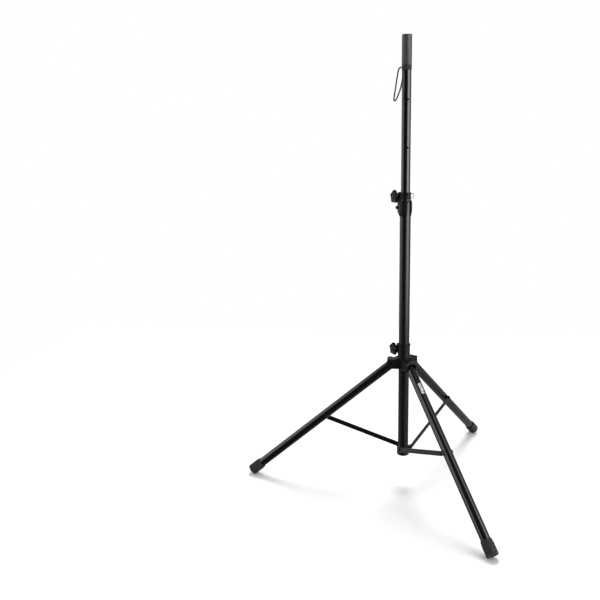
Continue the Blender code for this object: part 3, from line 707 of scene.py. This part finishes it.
class STAND_OT_strap(StandOperator):
    """The tape band round the pole, and the loop that hangs from it"""

    bl_idname = "stand.strap"
    bl_label = "Strap"

    def build(self, at, sizes):
        low, high = (corner.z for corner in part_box("strap_band"))
        inner = at.pole_radius + 0.35 * MM
        outer = half_width("strap_band")
        edge = 0.5 * MM
        outline = arc((outer - edge, low + edge), edge, -90, 0, 3)
        for share in (0.33, 0.66):
            middle = low + (high - low) * share
            outline += [(outer, middle - 0.7 * MM), (outer - 0.3 * MM, middle), (outer, middle + 0.7 * MM)]
        outline += arc((outer - edge, high - edge), edge, 0, 90, 3)
        outline += [(inner, high), (inner, low)]
        webbing = strap_webbing()
        band = to_object("tape_band", turned(outline, 96), at.upright)
        settle(band, webbing, "pole", ["strap_band"])

        start = at.axis + Vector((0, 0, at.sleeve_low))
        line = [start + point for point in smooth_line(STRAP_ROUTE, 8)]
        w = sizes.strap_width / 2
        t = sizes.strap_thickness / 2
        edge = 0.45 * t
        section = [(-w, -edge), (-w + t, -t), (0, -0.8 * t), (w - t, -t), (w, -edge)]
        section += [(w, edge), (w - t, t), (0, 0.8 * t), (-w + t, t), (-w, edge)]
        loop = to_object("tape_loop", swept(line, section, STRAP_FACING))
        settle(loop, webbing, "pole", ["strap_loop"], 60)
        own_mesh(loop)


class STAND_OT_column(StandOperator):
    """The satin column, and the hub with three ears at its foot"""

    bl_idname = "stand.column"
    bl_label = "Column and hub"

    def build(self, at, sizes):
        r = at.column_radius
        satin = satin_paint()
        tube = rounded_pipe(r, r - 1.5 * MM, at.column_low, at.column_high, 0.4 * MM, 128)
        settle(to_object("column_tube", tube, at.upright), satin, "column", ["lower_tube"])

        rim = 3.5 * MM
        hub_r = r + 4 * MM
        low, high = at.hub_low, at.pin_height + 0.4 * MM
        outline = [(r + 0.35 * MM, low)] + arc((hub_r - rim, low + rim), rim, -90, 0, 6)
        outline += arc((hub_r - rim, high - rim), rim, 0, 90, 6) + [(r + 0.35 * MM, high)]
        hub = Moulding("hub_ring", turned(outline, 96), at.upright)
        inner = at.leg_radius - 1 * MM
        outer = at.leg_radius + 5.7 * MM
        outline = arc((at.pin_reach, at.pin_height), 10 * MM, -40, 150, 24)
        outline += [(-4 * MM, low + 8 * MM), (16 * MM, low + 8 * MM)]
        for number in LEGS:
            hub.join(slab(outline, -outer, -inner), at.side(number), 0.9 * MM)
        hub.cut(rod(r + 0.3 * MM, low - 0.01, high + 0.03, 96), at.upright)
        for number in LEGS:
            hub.cut(rod(HUB_HOLE, -0.05, -17.3 * MM, 32), at.hub_pin(number) @ ALONG_Y)
        settle(hub.finish(0.7 * MM), satin, "column", ["bottom_hub"], 60)


class STAND_OT_clamp(StandOperator):
    """The split casting that clamps the pole at the column's top"""

    bl_idname = "stand.clamp"
    bl_label = "Clamp casting"

    def build(self, at, sizes):
        ears = at.ear_side()
        top = at.column_high
        r = at.column_radius
        wide = r + 4.6 * MM
        neck = at.pole_radius + 3.6 * MM
        low = top - 65.5 * MM
        rim = at.clamp_high
        bolt = (at.reach(at.clamp_bolt), at.clamp_bolt.z)
        fixing = (r + 14 * MM, top - 34.5 * MM)
        reach = bolt[0] + 9 * MM
        outline = [
            (0, low),
            (r + 1.3 * MM, low),
            (wide - 1 * MM, low + 15 * MM),
            (wide, low + 23 * MM),
            (wide, top - 10.5 * MM),
            (wide - 2 * MM, top - 7.5 * MM),
            (neck, top - 2.5 * MM),
            (neck, rim - 5.0 * MM),
            (neck + 0.5 * MM, rim - 4.2 * MM),
            (neck + 0.5 * MM, rim - 1.5 * MM),
            (neck - 1 * MM, rim),
            (0, rim),
        ]
        casting = Moulding("clamp_body", turned(outline, 96), at.upright)
        corner = 10 * MM
        outline = [
            (12 * MM, low - 4 * MM),
            (r + 1 * MM, low - 6 * MM),
            (r + 4.5 * MM, low - 2 * MM),
            (reach - 8 * MM, low + 6 * MM),
            (reach, low + 16 * MM),
        ]
        outline += arc((reach - corner, rim - corner), corner, 0, 90, 12) + [(12 * MM, rim)]
        half = sizes.ear_half_width
        casting.join(slab(outline, -half, half), ears, 1.8 * MM)
        # Raised bosses under both bolts, and pockets between them on the outer faces.
        for spot, radius in ((bolt, 9.5 * MM), (fixing, 8.5 * MM)):
            casting.join(rod(radius, -half, half, 64), across(ears, *spot))
        pocket = rectangle(r + 5 * MM, reach - 4 * MM, top - 24 * MM, top - 5 * MM)
        for y in (-half - 3 * MM, half - 1.8 * MM):
            casting.cut(slab(pocket, y, y + 4.8 * MM), ears)
        under = low - 20 * MM
        above = rim + 10 * MM
        tight = at.pole_radius + 0.4 * MM
        seat = top + 5.2 * MM
        loose = r + 0.3 * MM
        bore = [(0, under), (loose, under), (loose, seat), (tight, seat), (tight, above), (0, above)]
        casting.cut(turned(bore, 96), at.upright)
        slit = rectangle(at.pole_radius - 4 * MM, reach + 10 * MM, under, above)
        casting.cut(slab(slit, -sizes.slit / 2, sizes.slit / 2), ears)
        for spot in (bolt, fixing):
            casting.cut(rod(BOLT_HOLE, -0.03, 0.03, 32), across(ears, *spot))
        outward = Vector((math.cos(WINDOW_BEARING), math.sin(WINDOW_BEARING), 0))
        outline = arc((0, top - 18.5 * MM), 9.2 * MM, 0, 180, 16)
        outline += [(-11.5 * MM, low - 10 * MM), (10.5 * MM, low - 10 * MM)]
        window_side = facing_frame(at.axis, outward) @ Matrix.Rotation(-math.pi / 2, 4, "Z")
        casting.cut(slab(outline, r - 2 * MM, r + 20 * MM), window_side)
        casting.cut(rod(2.9 * MM, at.pole_radius - 5 * MM, 0.035, 32), at.pin_side(at.pin_eye.z) @ ALONG_X)
        body = casting.finish(sizes.voxel)
        settle(body, moulded_plastic(), "column", ["clamp_casting"], 60)


class STAND_OT_housing(StandOperator):
    """The sliding housing: a split collar and three hooded sockets for the legs"""

    bl_idname = "stand.housing"
    bl_label = "Leg housing"

    def build(self, at, sizes):
        ears = at.ear_side()
        collar = at.column_radius + 3 * MM
        lip = collar + 1.5 * MM
        top = at.collar_high
        low = at.hinge_height - 10 * MM
        shoulder = at.hinge_height + 35 * MM
        inner = at.leg_radius + 1 * MM
        outer = inner + 4.8 * MM
        pocket = math.hypot(sizes.leg_top + 1.5 * MM, at.leg_radius) + 1.2 * MM
        hood = pocket + 5.5 * MM
        end = 10.5 * MM
        reach = at.hinge_reach
        outline = [(0, low), (collar, low), (collar, top - 9 * MM), (lip, top - 8 * MM)]
        outline += [(lip, top - 1 * MM), (lip - 1 * MM, top), (0, top)]
        housing = Moulding("housing_body", turned(outline, 96), at.upright)
        end_angle = math.degrees(math.acos(end / hood))
        outline = [(14 * MM, low), (reach + end - 6.5 * MM, low), (reach + end, low + 6.5 * MM)]
        outline += arc((reach, at.hinge_height), hood, end_angle, 118, 16)
        outline += [(collar - 2 * MM, shoulder), (14 * MM, shoulder)]
        for number in LEGS:
            housing.join(slab(outline, -outer, outer), at.side(number), 5.5 * MM, 5, 30)
        bolt_reach = at.reach(at.housing_bolt)
        ear_reach = bolt_reach + 9 * MM
        middle = at.housing_bolt.z
        tall = 21.5 * MM
        corner = 9 * MM
        outline = [(12 * MM, middle - tall)]
        outline += arc((ear_reach - corner, middle - tall + corner), corner, -90, 0, 10)
        outline += arc((ear_reach - corner, middle + tall - corner), corner, 0, 90, 10)
        outline += [(12 * MM, middle + tall)]
        half = sizes.ear_half_width
        housing.join(slab(outline, -half, half), ears, 1.8 * MM)
        slit = rectangle(at.column_radius - 6 * MM, ear_reach + 10 * MM, shoulder + 1 * MM, top + 10 * MM)
        housing.cut(slab(slit, -sizes.slit / 2, sizes.slit / 2), ears)
        housing.cut(rod(at.column_radius + 1.3 * MM, low - 0.05, top + 0.01, 96), at.upright)
        housing.cut(rod(BOLT_HOLE, -0.03, 0.03, 32), across(ears, bolt_reach, middle))
        far = 0.12
        levels = [inner * (i / 8 - 1) for i in range(17)]
        barrel = [(0, -inner)] + [(math.sqrt(pocket**2 - y**2), y) for y in levels] + [(0, inner)]
        fan = [(0, 0), (far * math.sin(sizes.leg_angle), -far * math.cos(sizes.leg_angle)), (0, -far)]
        for number in LEGS:
            hinge = at.hinge(number)
            housing.cut(turned(barrel, 72), hinge @ ALONG_Y)
            housing.cut(slab(fan, -inner, inner), hinge)
            for angle in (sizes.leg_angle, 0):
                housing.cut(rod(inner, -far, 0, 64), hinge @ Matrix.Rotation(-angle, 4, "Y"))
            housing.cut(rod(BOLT_HOLE, -0.04, 0.04, 32), hinge @ ALONG_Y)
        plastic = moulded_plastic()
        settle(housing.finish(sizes.voxel), plastic, "housing", ["leg_housing"], 60)
        settle(self.grip_ribs(at, outer), plastic, "housing", (), 60)

    def grip_ribs(self, at, outer):
        """Four short ribs on both faces of each socket, repeated by Geometry Nodes."""
        rib = to_object("rib", rod(0.9 * MM, -7 * MM, 7 * MM, 12), ALONG_X)
        ribs = []
        for number in LEGS:
            for side in (-1, 1):
                start = Vector((at.hinge_reach - 14 * MM, side * outer, at.hinge_height + 12.5 * MM))
                row = repeat_along(f"ribs_{number}_{side + 1}", rib, 4, Vector((0, 0, 4.2 * MM)))
                row.data.transform(at.side(number) @ Matrix.Translation(start))
                ribs.append(row)
        bpy.data.objects.remove(rib)
        return merge("socket_ribs", ribs)


def repeat_along(name, source, count, offset):
    """Copies of a mesh in a row, made with Geometry Nodes and realised."""
    tree = bpy.data.node_groups.new(name, "GeometryNodeTree")
    for socket, kind in (("Source", "Object"), ("Count", "Int"), ("Offset", "Vector")):
        tree.interface.new_socket(socket, in_out="INPUT", socket_type=f"NodeSocket{kind}")
    tree.interface.new_socket("Geometry", in_out="OUTPUT", socket_type="NodeSocketGeometry")
    inputs = add_node(tree, "NodeGroupInput").outputs
    given = {"Count": inputs["Count"], "Offset": inputs["Offset"]}
    line = add_node(tree, "GeometryNodeMeshLine", given, mode="OFFSET")
    info = add_node(tree, "GeometryNodeObjectInfo", {"Object": inputs["Source"]})
    given = {"Points": line.outputs["Mesh"], "Instance": info.outputs["Geometry"]}
    copies = add_node(tree, "GeometryNodeInstanceOnPoints", given)
    real = add_node(tree, "GeometryNodeRealizeInstances", {"Geometry": copies.outputs["Instances"]})
    add_node(tree, "NodeGroupOutput", {"Geometry": real.outputs["Geometry"]})
    holder = to_object(name, bmesh.new())
    added = holder.modifiers.new("repeat", "NODES")
    added.node_group = tree
    values = {"Source": source, "Count": count, "Offset": tuple(offset)}
    for item in tree.interface.items_tree:
        if item.in_out == "INPUT":
            added[item.identifier] = values[item.name]
    bake(holder)
    bpy.data.node_groups.remove(tree)
    return holder


class STAND_OT_knobs(StandOperator):
    """The two lobed clamping knobs"""

    bl_idname = "stand.knobs"
    bl_label = "Clamping knobs"

    def build(self, at, sizes):
        start = at.column_radius + 2.5 * MM
        end = start + 13 * MM
        base = sizes.ear_half_width + 2 * GAP
        rim = 23.5 * MM
        profile = [
            (0, base + 0.02 * MM, 0),
            (9 * MM, base + 0.02 * MM, 0),
            (9.8 * MM, base + 0.8 * MM, 0),
            (18.0 * MM, start - 0.8 * MM, 0.25),
            (rim - 3.2 * MM, start, 0.9),
            (rim - 1.2 * MM, start + 0.6 * MM, 1),
            (rim - 0.2 * MM, start + 2.2 * MM, 1),
            (rim, start + 4.5 * MM, 1),
            (rim, end - 4.5 * MM, 1),
            (rim - 0.3 * MM, end - 2.2 * MM, 1),
            (rim - 1.4 * MM, end - 0.5 * MM, 1),
            (rim - 3.4 * MM, end, 0.9),
            (rim - 8.0 * MM, end - 0.2 * MM, 0.45),
            (12.0 * MM, end - 1.8 * MM, 0.1),
            (9.6 * MM, end - 2.0 * MM, 0),
            (9.2 * MM, end - 0.8 * MM, 0),
            (8.2 * MM, end - 0.1 * MM, 0),
            (0, end, 0),
        ]
        plastic = moulded_plastic()
        for name, bolt in (("clamp_knob", at.clamp_bolt), ("housing_knob", at.housing_bolt)):
            place = across(at.ear_side(), at.reach(bolt), bolt.z) @ Matrix.Rotation(-math.pi / 2, 4, "Z")
            knob = to_object(f"{name}_grip", lobed(profile, sizes.knob_lobes, 2.5 * MM), place)
            settle(knob, plastic, name, [name], 50)


class STAND_OT_legs(StandOperator):
    """Three gloss leg tubes with ridged rubber feet"""

    bl_idname = "stand.legs"
    bl_label = "Legs and feet"

    def build(self, at, sizes):
        gloss = gloss_paint()
        rubber = foot_rubber()
        r = at.leg_radius
        floor = 5 * MM
        # The tube's lowest point gives the leg's length, from its hinge to the foot's far end.
        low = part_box("leg_tube_1")[0]
        run = at.hinges[0].x - low.x - r * math.cos(sizes.leg_angle)
        tip = -run / math.sin(sizes.leg_angle) - floor - GAP
        bolt = middle_of("leg_brace_bolt_1") - at.hinges[0]
        holes = ((0, BOLT_HOLE), (-math.hypot(bolt.x, bolt.z), HUB_HOLE))
        foot_r = at.foot_radius
        cap = 56 * MM + tip
        edge = 1.2 * MM
        outline = [(0, tip), (foot_r - 0.6 * MM, tip), (foot_r, 0.6 * MM + tip)]
        for ridge in range(5):
            base = tip + (14 + 4 * ridge) * MM
            outline += [(foot_r, base), (foot_r - 0.5 * MM, base + 0.5 * MM)]
            outline += [(foot_r - 0.5 * MM, base + 1.1 * MM), (foot_r, base + 1.6 * MM)]
        outline += [(foot_r, cap - 13 * MM), (foot_r - 1.0 * MM, cap - 10.5 * MM)]
        outline += arc((foot_r - 1.6 * MM - edge, cap - edge), edge, 0, 90, 4)
        outline += [(r + 0.35 * MM, cap), (r + 0.35 * MM, floor + tip), (0, floor + tip)]
        for number in LEGS:
            leg = at.leg(number, sizes)
            tube = rounded_pipe(r, r - 1.2 * MM, floor + GAP + tip, sizes.leg_top, 0.3 * MM, 96)
            piece = Moulding(f"leg_{number}_tube", tube, leg)
            for height, radius in holes:
                piece.cut(rod(radius, -0.03, 0.03, 32), across(leg, 0, height))
            settle(piece.finish(), gloss, f"leg_{number}", [f"leg_tube_{number}"])

            foot = Moulding(f"foot_{number}_cap", turned(outline, 96), leg)
            middle = at.reach(middle_of(f"foot_{number}"))
            under = rectangle(middle - 0.06, middle + 0.06, -0.06, 0)
            foot.cut(slab(under, -0.06, 0.06), at.side(number))
            settle(foot.finish(), rubber, f"leg_{number}", [f"foot_{number}"], 30)


class STAND_OT_braces(StandOperator):
    """Three flat braces with a pressed bead"""

    bl_idname = "stand.braces"
    bl_label = "Braces"

    def build(self, at, sizes):
        satin = satin_paint()
        inner = at.leg_radius + 6 * MM
        outer = inner + 3 * MM
        half = 9.5 * MM
        bolt = middle_of("leg_brace_bolt_1")
        line = Vector((at.axis.x - bolt.x, bolt.z)) - Vector((at.pin_reach, at.pin_height))
        length = line.length
        outline = arc((0, 0), half, 90, 270, 24) + arc((length, 0), half, -90, 90, 24)
        bead = arc((20 * MM, 0), 2.8 * MM, 90, 270, 12) + arc((length - 20 * MM, 0), 2.8 * MM, -90, 90, 12)
        for number in LEGS:
            place = at.hub_pin(number) @ Matrix.Rotation(-math.atan2(line.y, line.x), 4, "Y")
            strip = Moulding(f"brace_{number}_strip", slab(outline, -outer, -inner), place)
            add_bevel(strip.piece, 0.5 * MM, 2)
            bake(strip.piece)
            strip.join(slab(bead, -outer - 0.8 * MM, -outer + 1 * MM), place, 0.7 * MM)
            for x in (0, length):
                strip.cut(rod(HUB_HOLE, -0.05, 0, 32), across(place, x, 0))
            settle(strip.finish(), satin, f"brace_{number}", [f"brace_{number}"])


class STAND_OT_pin(StandOperator):
    """The safety pin and its wire ring"""

    bl_idname = "stand.pin"
    bl_label = "Safety pin and ring"

    def build(self, at, sizes):
        pivot = at.reach(at.pin_eye)
        start = at.pole_radius + 0.5 * MM
        neck = at.pole_radius + 7.6 * MM
        head = 4.2 * MM
        outline = [(0, start), (1.6 * MM, start), (2.6 * MM, start + 1.0 * MM), (2.6 * MM, neck)]
        outline += arc((head - 0.4 * MM, neck + 0.4 * MM), 0.4 * MM, -90, 0, 3)
        outline += arc((head - 1.0 * MM, pivot + 2.4 * MM), 1.0 * MM, 0, 90, 5) + [(0, pivot + 3.4 * MM)]
        place = at.pin_side(at.pin_eye.z)
        pin = Moulding("pull_pin", turned(outline, 48), place @ ALONG_X)
        pin.cut(rod(1.2 * MM, -0.01, 0.01, 24), place @ Matrix.Translation((pivot, 0, 0)))
        settle(pin.finish(), black_steel(), "safety_pin", ["safety_pin"])
        line = smooth_line([(x, 0, z) for x, z in RING_ROUTE], 8, closed=True)
        wire = swept(line, arc((0, 0), 1.05 * MM, 0, 330, 11), Vector((0, -1, 0)), closed=True)
        ring = to_object("wire_ring", wire, Matrix.Translation(at.pin_eye))
        settle(ring, bright_steel(), "pin_ring", ["pin_ring"], 80)


def hex_head(name, place, low, high):
    """A chamfered six-sided head on a washer, standing away from low towards high."""
    radius = 7 * MM
    away = 1 if high > low else -1
    seat = low + away * 1.2 * MM
    washer = sorted((low, seat - away * 0.05 * MM))
    parts = (
        (name, rod(radius, *sorted((seat, high)), steps=6), 0.6 * MM),
        (f"{name}_washer", rod(radius + 1.0 * MM, *washer, steps=48), 0.25 * MM),
    )
    made = []
    for part, shape, edge in parts:
        made.append(to_object(part, shape, place))
        add_bevel(made[-1], edge, 2)
        bake(made[-1])
    return made


class STAND_OT_fasteners(StandOperator):
    """Bolts, nuts, the label, and the finishes of the plain CAD pieces"""

    bl_idname = "stand.fasteners"
    bl_label = "Bolts, nuts and plain CAD pieces"

    def build(self, at, sizes):
        steel = black_steel()
        near = at.leg_radius + 5.8 * MM + GAP
        for number in LEGS:
            place = at.hinge(number) @ ALONG_Y
            parts = hex_head(f"a{number}", place, near, near + 4.5 * MM)
            parts += hex_head(f"b{number}", place, -near, -near - 4.0 * MM)
            parts.append(to_object(f"shank{number}", rod(4 * MM, -near - 2 * MM, near + 2 * MM, 48), place))
            bolt = merge(f"hinge_bolt_{number}", parts)
            settle(bolt, steel, "housing", [f"leg_pivot_bolt_{number}"])
        each = [f"{name}_{number}" for number in LEGS for name in ("hub_pin", "leg_brace_bolt", "brace_nut")]
        for name in ["clamp_bolt", "clamp_fixing_bolt", "housing_bolt", *each]:
            paint(name, steel)
        each = [f"{name}_{number}" for number in LEGS for name in ("leg_top_plug", "brace_saddle")]
        inside = ["column_end_plug", "clamp_bushing", "pole_top_plug", "pole_runner", "housing_bushing"]
        plastic = moulded_plastic()
        for name in each + inside:
            paint(name, plastic)
        settle(self.label(at, sizes), label_paper(), "leg_2", ["label_blank"])

    def label(self, at, sizes):
        """A blank label with rounded corners, bent round the second leg's tube."""
        inner = at.leg_radius + 0.05 * MM
        start, end = math.radians(-25), math.radians(16)
        near, far = -123.5 * MM, -76 * MM
        corner = 2.5 * MM
        columns = 24
        shape = bmesh.new()
        rows = []
        for i in range(columns + 1):
            angle = start + (end - start) * i / columns
            edge = min(angle - start, end - angle) * inner
            inset = corner - math.sqrt(max(corner**2 - max(corner - edge, 0) ** 2, 0))
            row = []
            for radius in (inner, inner + 0.35 * MM):
                for height in (near + inset, far - inset):
                    row.append(shape.verts.new((radius * math.cos(angle), radius * math.sin(angle), height)))
            rows.append([row[0], row[1], row[3], row[2]])
        close_rings(shape, zip(rows, rows[1:]), 4)
        shape.faces.new(rows[0])
        shape.faces.new(rows[-1])
        bmesh.ops.recalc_face_normals(shape, faces=shape.faces[:])
        return to_object("blank_label", shape, at.leg(2, sizes))


def paint(node, finish):
    """Gives a CAD node a finish on its object's own slot."""
    piece = frame["nodes"][node]
    if not piece.material_slots:
        piece.data.materials.append(None)
    for place in piece.material_slots:
        place.link = "OBJECT"
        place.material = finish


# --- Stage ---


class STAND_OT_stage(Operator):
    """Camera, floor, soft light and world"""

    bl_idname = "stand.stage"
    bl_label = "Stage"
    bl_options = {"REGISTER", "UNDO"}

    def execute(self, context):
        sizes = context.scene.stage_sizes
        at = Places()
        self.add_camera(context.scene, sizes, at)
        self.add_floor(at)
        self.add_soft_light(sizes)
        self.add_world(context.scene)
        context.scene.view_settings.view_transform = "Standard"
        context.scene.view_settings.look = "None"
        context.scene.cycles.max_bounces = 8
        context.scene.cycles.use_denoising = True
        return {"FINISHED"}

    def add_camera(self, scene, sizes, at):
        data = bpy.data.cameras.new("camera")
        data.sensor_width = 36
        data.lens = sizes.lens
        data.dof.use_dof = False
        data.clip_end = 200
        camera = bpy.data.objects.new("camera", data)
        scene.collection.objects.link(camera)
        place = at.axis + Vector((sizes.camera_side, -sizes.camera_back, sizes.camera_height))
        turn = Matrix.Rotation(sizes.heading, 4, "Z") @ Matrix.Rotation(math.pi / 2 - sizes.tilt, 4, "X")
        turn = turn @ Matrix.Rotation(sizes.roll, 4, "Z")
        camera.matrix_world = Matrix.Translation(place) @ turn
        scene.camera = camera

    def add_floor(self, at):
        """A floor that reflections don't see, because the world lights them instead."""
        shape = bmesh.new()
        bmesh.ops.create_grid(shape, x_segments=1, y_segments=1, size=0.5)
        shape.transform(Matrix.Translation((0, 0.6, 0)) @ Matrix.Diagonal((5.0, 3.4, 1, 1)))
        floor = to_object("studio_floor", shape, Matrix.Translation(at.axis))
        floor.data.materials.append(studio_floor())
        floor.visible_glossy = False

    def add_soft_light(self, sizes):
        """A wide light above and behind the stand, for the soft shadows by the feet."""
        data = bpy.data.lights.new("soft_overhead_light", "SUN")
        data.energy = sizes.light_strength
        data.angle = sizes.light_width
        lamp = bpy.data.objects.new("soft_overhead_light", data)
        bpy.context.scene.collection.objects.link(lamp)
        lamp.rotation_euler.x = sizes.light_lean
        lamp.visible_glossy = False

    def add_world(self, scene):
        """White for the camera and for diffuse light. Reflections see a studio of panels round the stand."""
        world = bpy.data.worlds.new("studio")
        world.use_nodes = True
        world.cycles.sampling_method = "NONE"
        scene.world = world
        tree = world.node_tree

        def calculate(operation, *given):
            return add_node(tree, "ShaderNodeMath", dict(enumerate(given)), operation=operation).outputs[0]

        def mix(factor, first, second):
            given = {"Factor": factor, "A": first, "B": second}
            return add_node(tree, "ShaderNodeMix", given, data_type="FLOAT").outputs["Result"]

        spot = add_node(tree, "ShaderNodeTexCoord").outputs["Generated"]
        way = add_node(tree, "ShaderNodeSeparateXYZ", {"Vector": spot}).outputs
        bearing = calculate("ARCTAN2", way["X"], calculate("MULTIPLY", way["Y"], -1))
        given = {"Value": bearing, "From Min": -math.pi, "From Max": math.pi}
        turn = add_node(tree, "ShaderNodeMapRange", given).outputs["Result"]

        def panels_round(levels):
            """The light of a ring of panels in the direction's bearing."""
            panels = add_node(tree, "ShaderNodeValToRGB", {"Fac": turn})
            stops = panels.color_ramp.elements
            while len(stops) > 1:
                stops.remove(stops[-1])
            for number, (degrees, level) in enumerate(levels):
                place = (degrees + 180) / 360
                stop = stops[0] if number == 0 else stops.new(place)
                stop.position = place
                stop.color = (*[level / PANEL_LIGHT] * 3, 1)
            return calculate("MULTIPLY", panels.outputs["Color"], PANEL_LIGHT)

        def by_height(start, end, under, over):
            """Goes from one light to another as the direction rises from start to end."""
            given = {"Value": way["Z"], "From Min": start, "From Max": end}
            rise = add_node(tree, "ShaderNodeMapRange", given, interpolation_type="SMOOTHSTEP")
            return mix(rise.outputs["Result"], under, over)

        walls = panels_round(PANELS)
        low = calculate("MINIMUM", walls, LOW_LIGHT)
        room = by_height(0.58, 0.8, by_height(-0.3, -0.1, low, walls), panels_round(CEILING_PANELS))
        rays = add_node(tree, "ShaderNodeLightPath").outputs
        strength = mix(rays["Is Camera Ray"], mix(rays["Is Glossy Ray"], FLOOR_LIGHT, room), 1.0)
        background = tree.nodes["Background"]
        background.inputs["Color"].default_value = (1, 1, 1, 1)
        tree.links.new(strength, background.inputs["Strength"])


# --- Panel and start ---

STEPS = (
    STAND_OT_stage,
    STAND_OT_pole,
    STAND_OT_strap,
    STAND_OT_column,
    STAND_OT_clamp,
    STAND_OT_housing,
    STAND_OT_knobs,
    STAND_OT_legs,
    STAND_OT_braces,
    STAND_OT_pin,
    STAND_OT_fasteners,
)


class STAND_PT_panel(Panel):
    """The steps and sizes in the 3D view's sidebar"""

    bl_label = "Tripod Stand"
    bl_idname = "STAND_PT_panel"
    bl_space_type = "VIEW_3D"
    bl_region_type = "UI"
    bl_category = "Tripod Stand"

    def draw(self, context):
        for step in STEPS:
            self.layout.operator(step.bl_idname)
        for sizes in (context.scene.stand_sizes, context.scene.stage_sizes):
            for name in sizes.__annotations__:
                self.layout.prop(sizes, name)


CLASSES = (StandSizes, StageSizes, *STEPS, STAND_PT_panel)


def register():
    for item in CLASSES:
        bpy.utils.register_class(item)
    bpy.types.Scene.stand_sizes = PointerProperty(type=StandSizes)
    bpy.types.Scene.stage_sizes = PointerProperty(type=StageSizes)


def unregister():
    del bpy.types.Scene.stage_sizes
    del bpy.types.Scene.stand_sizes
    for item in reversed(CLASSES):
        bpy.utils.unregister_class(item)


def main():
    register()
    for step in STEPS:
        group, name = step.bl_idname.split(".")
        getattr(getattr(bpy.ops, group), name)()


if __name__ == "__main__":
    main()
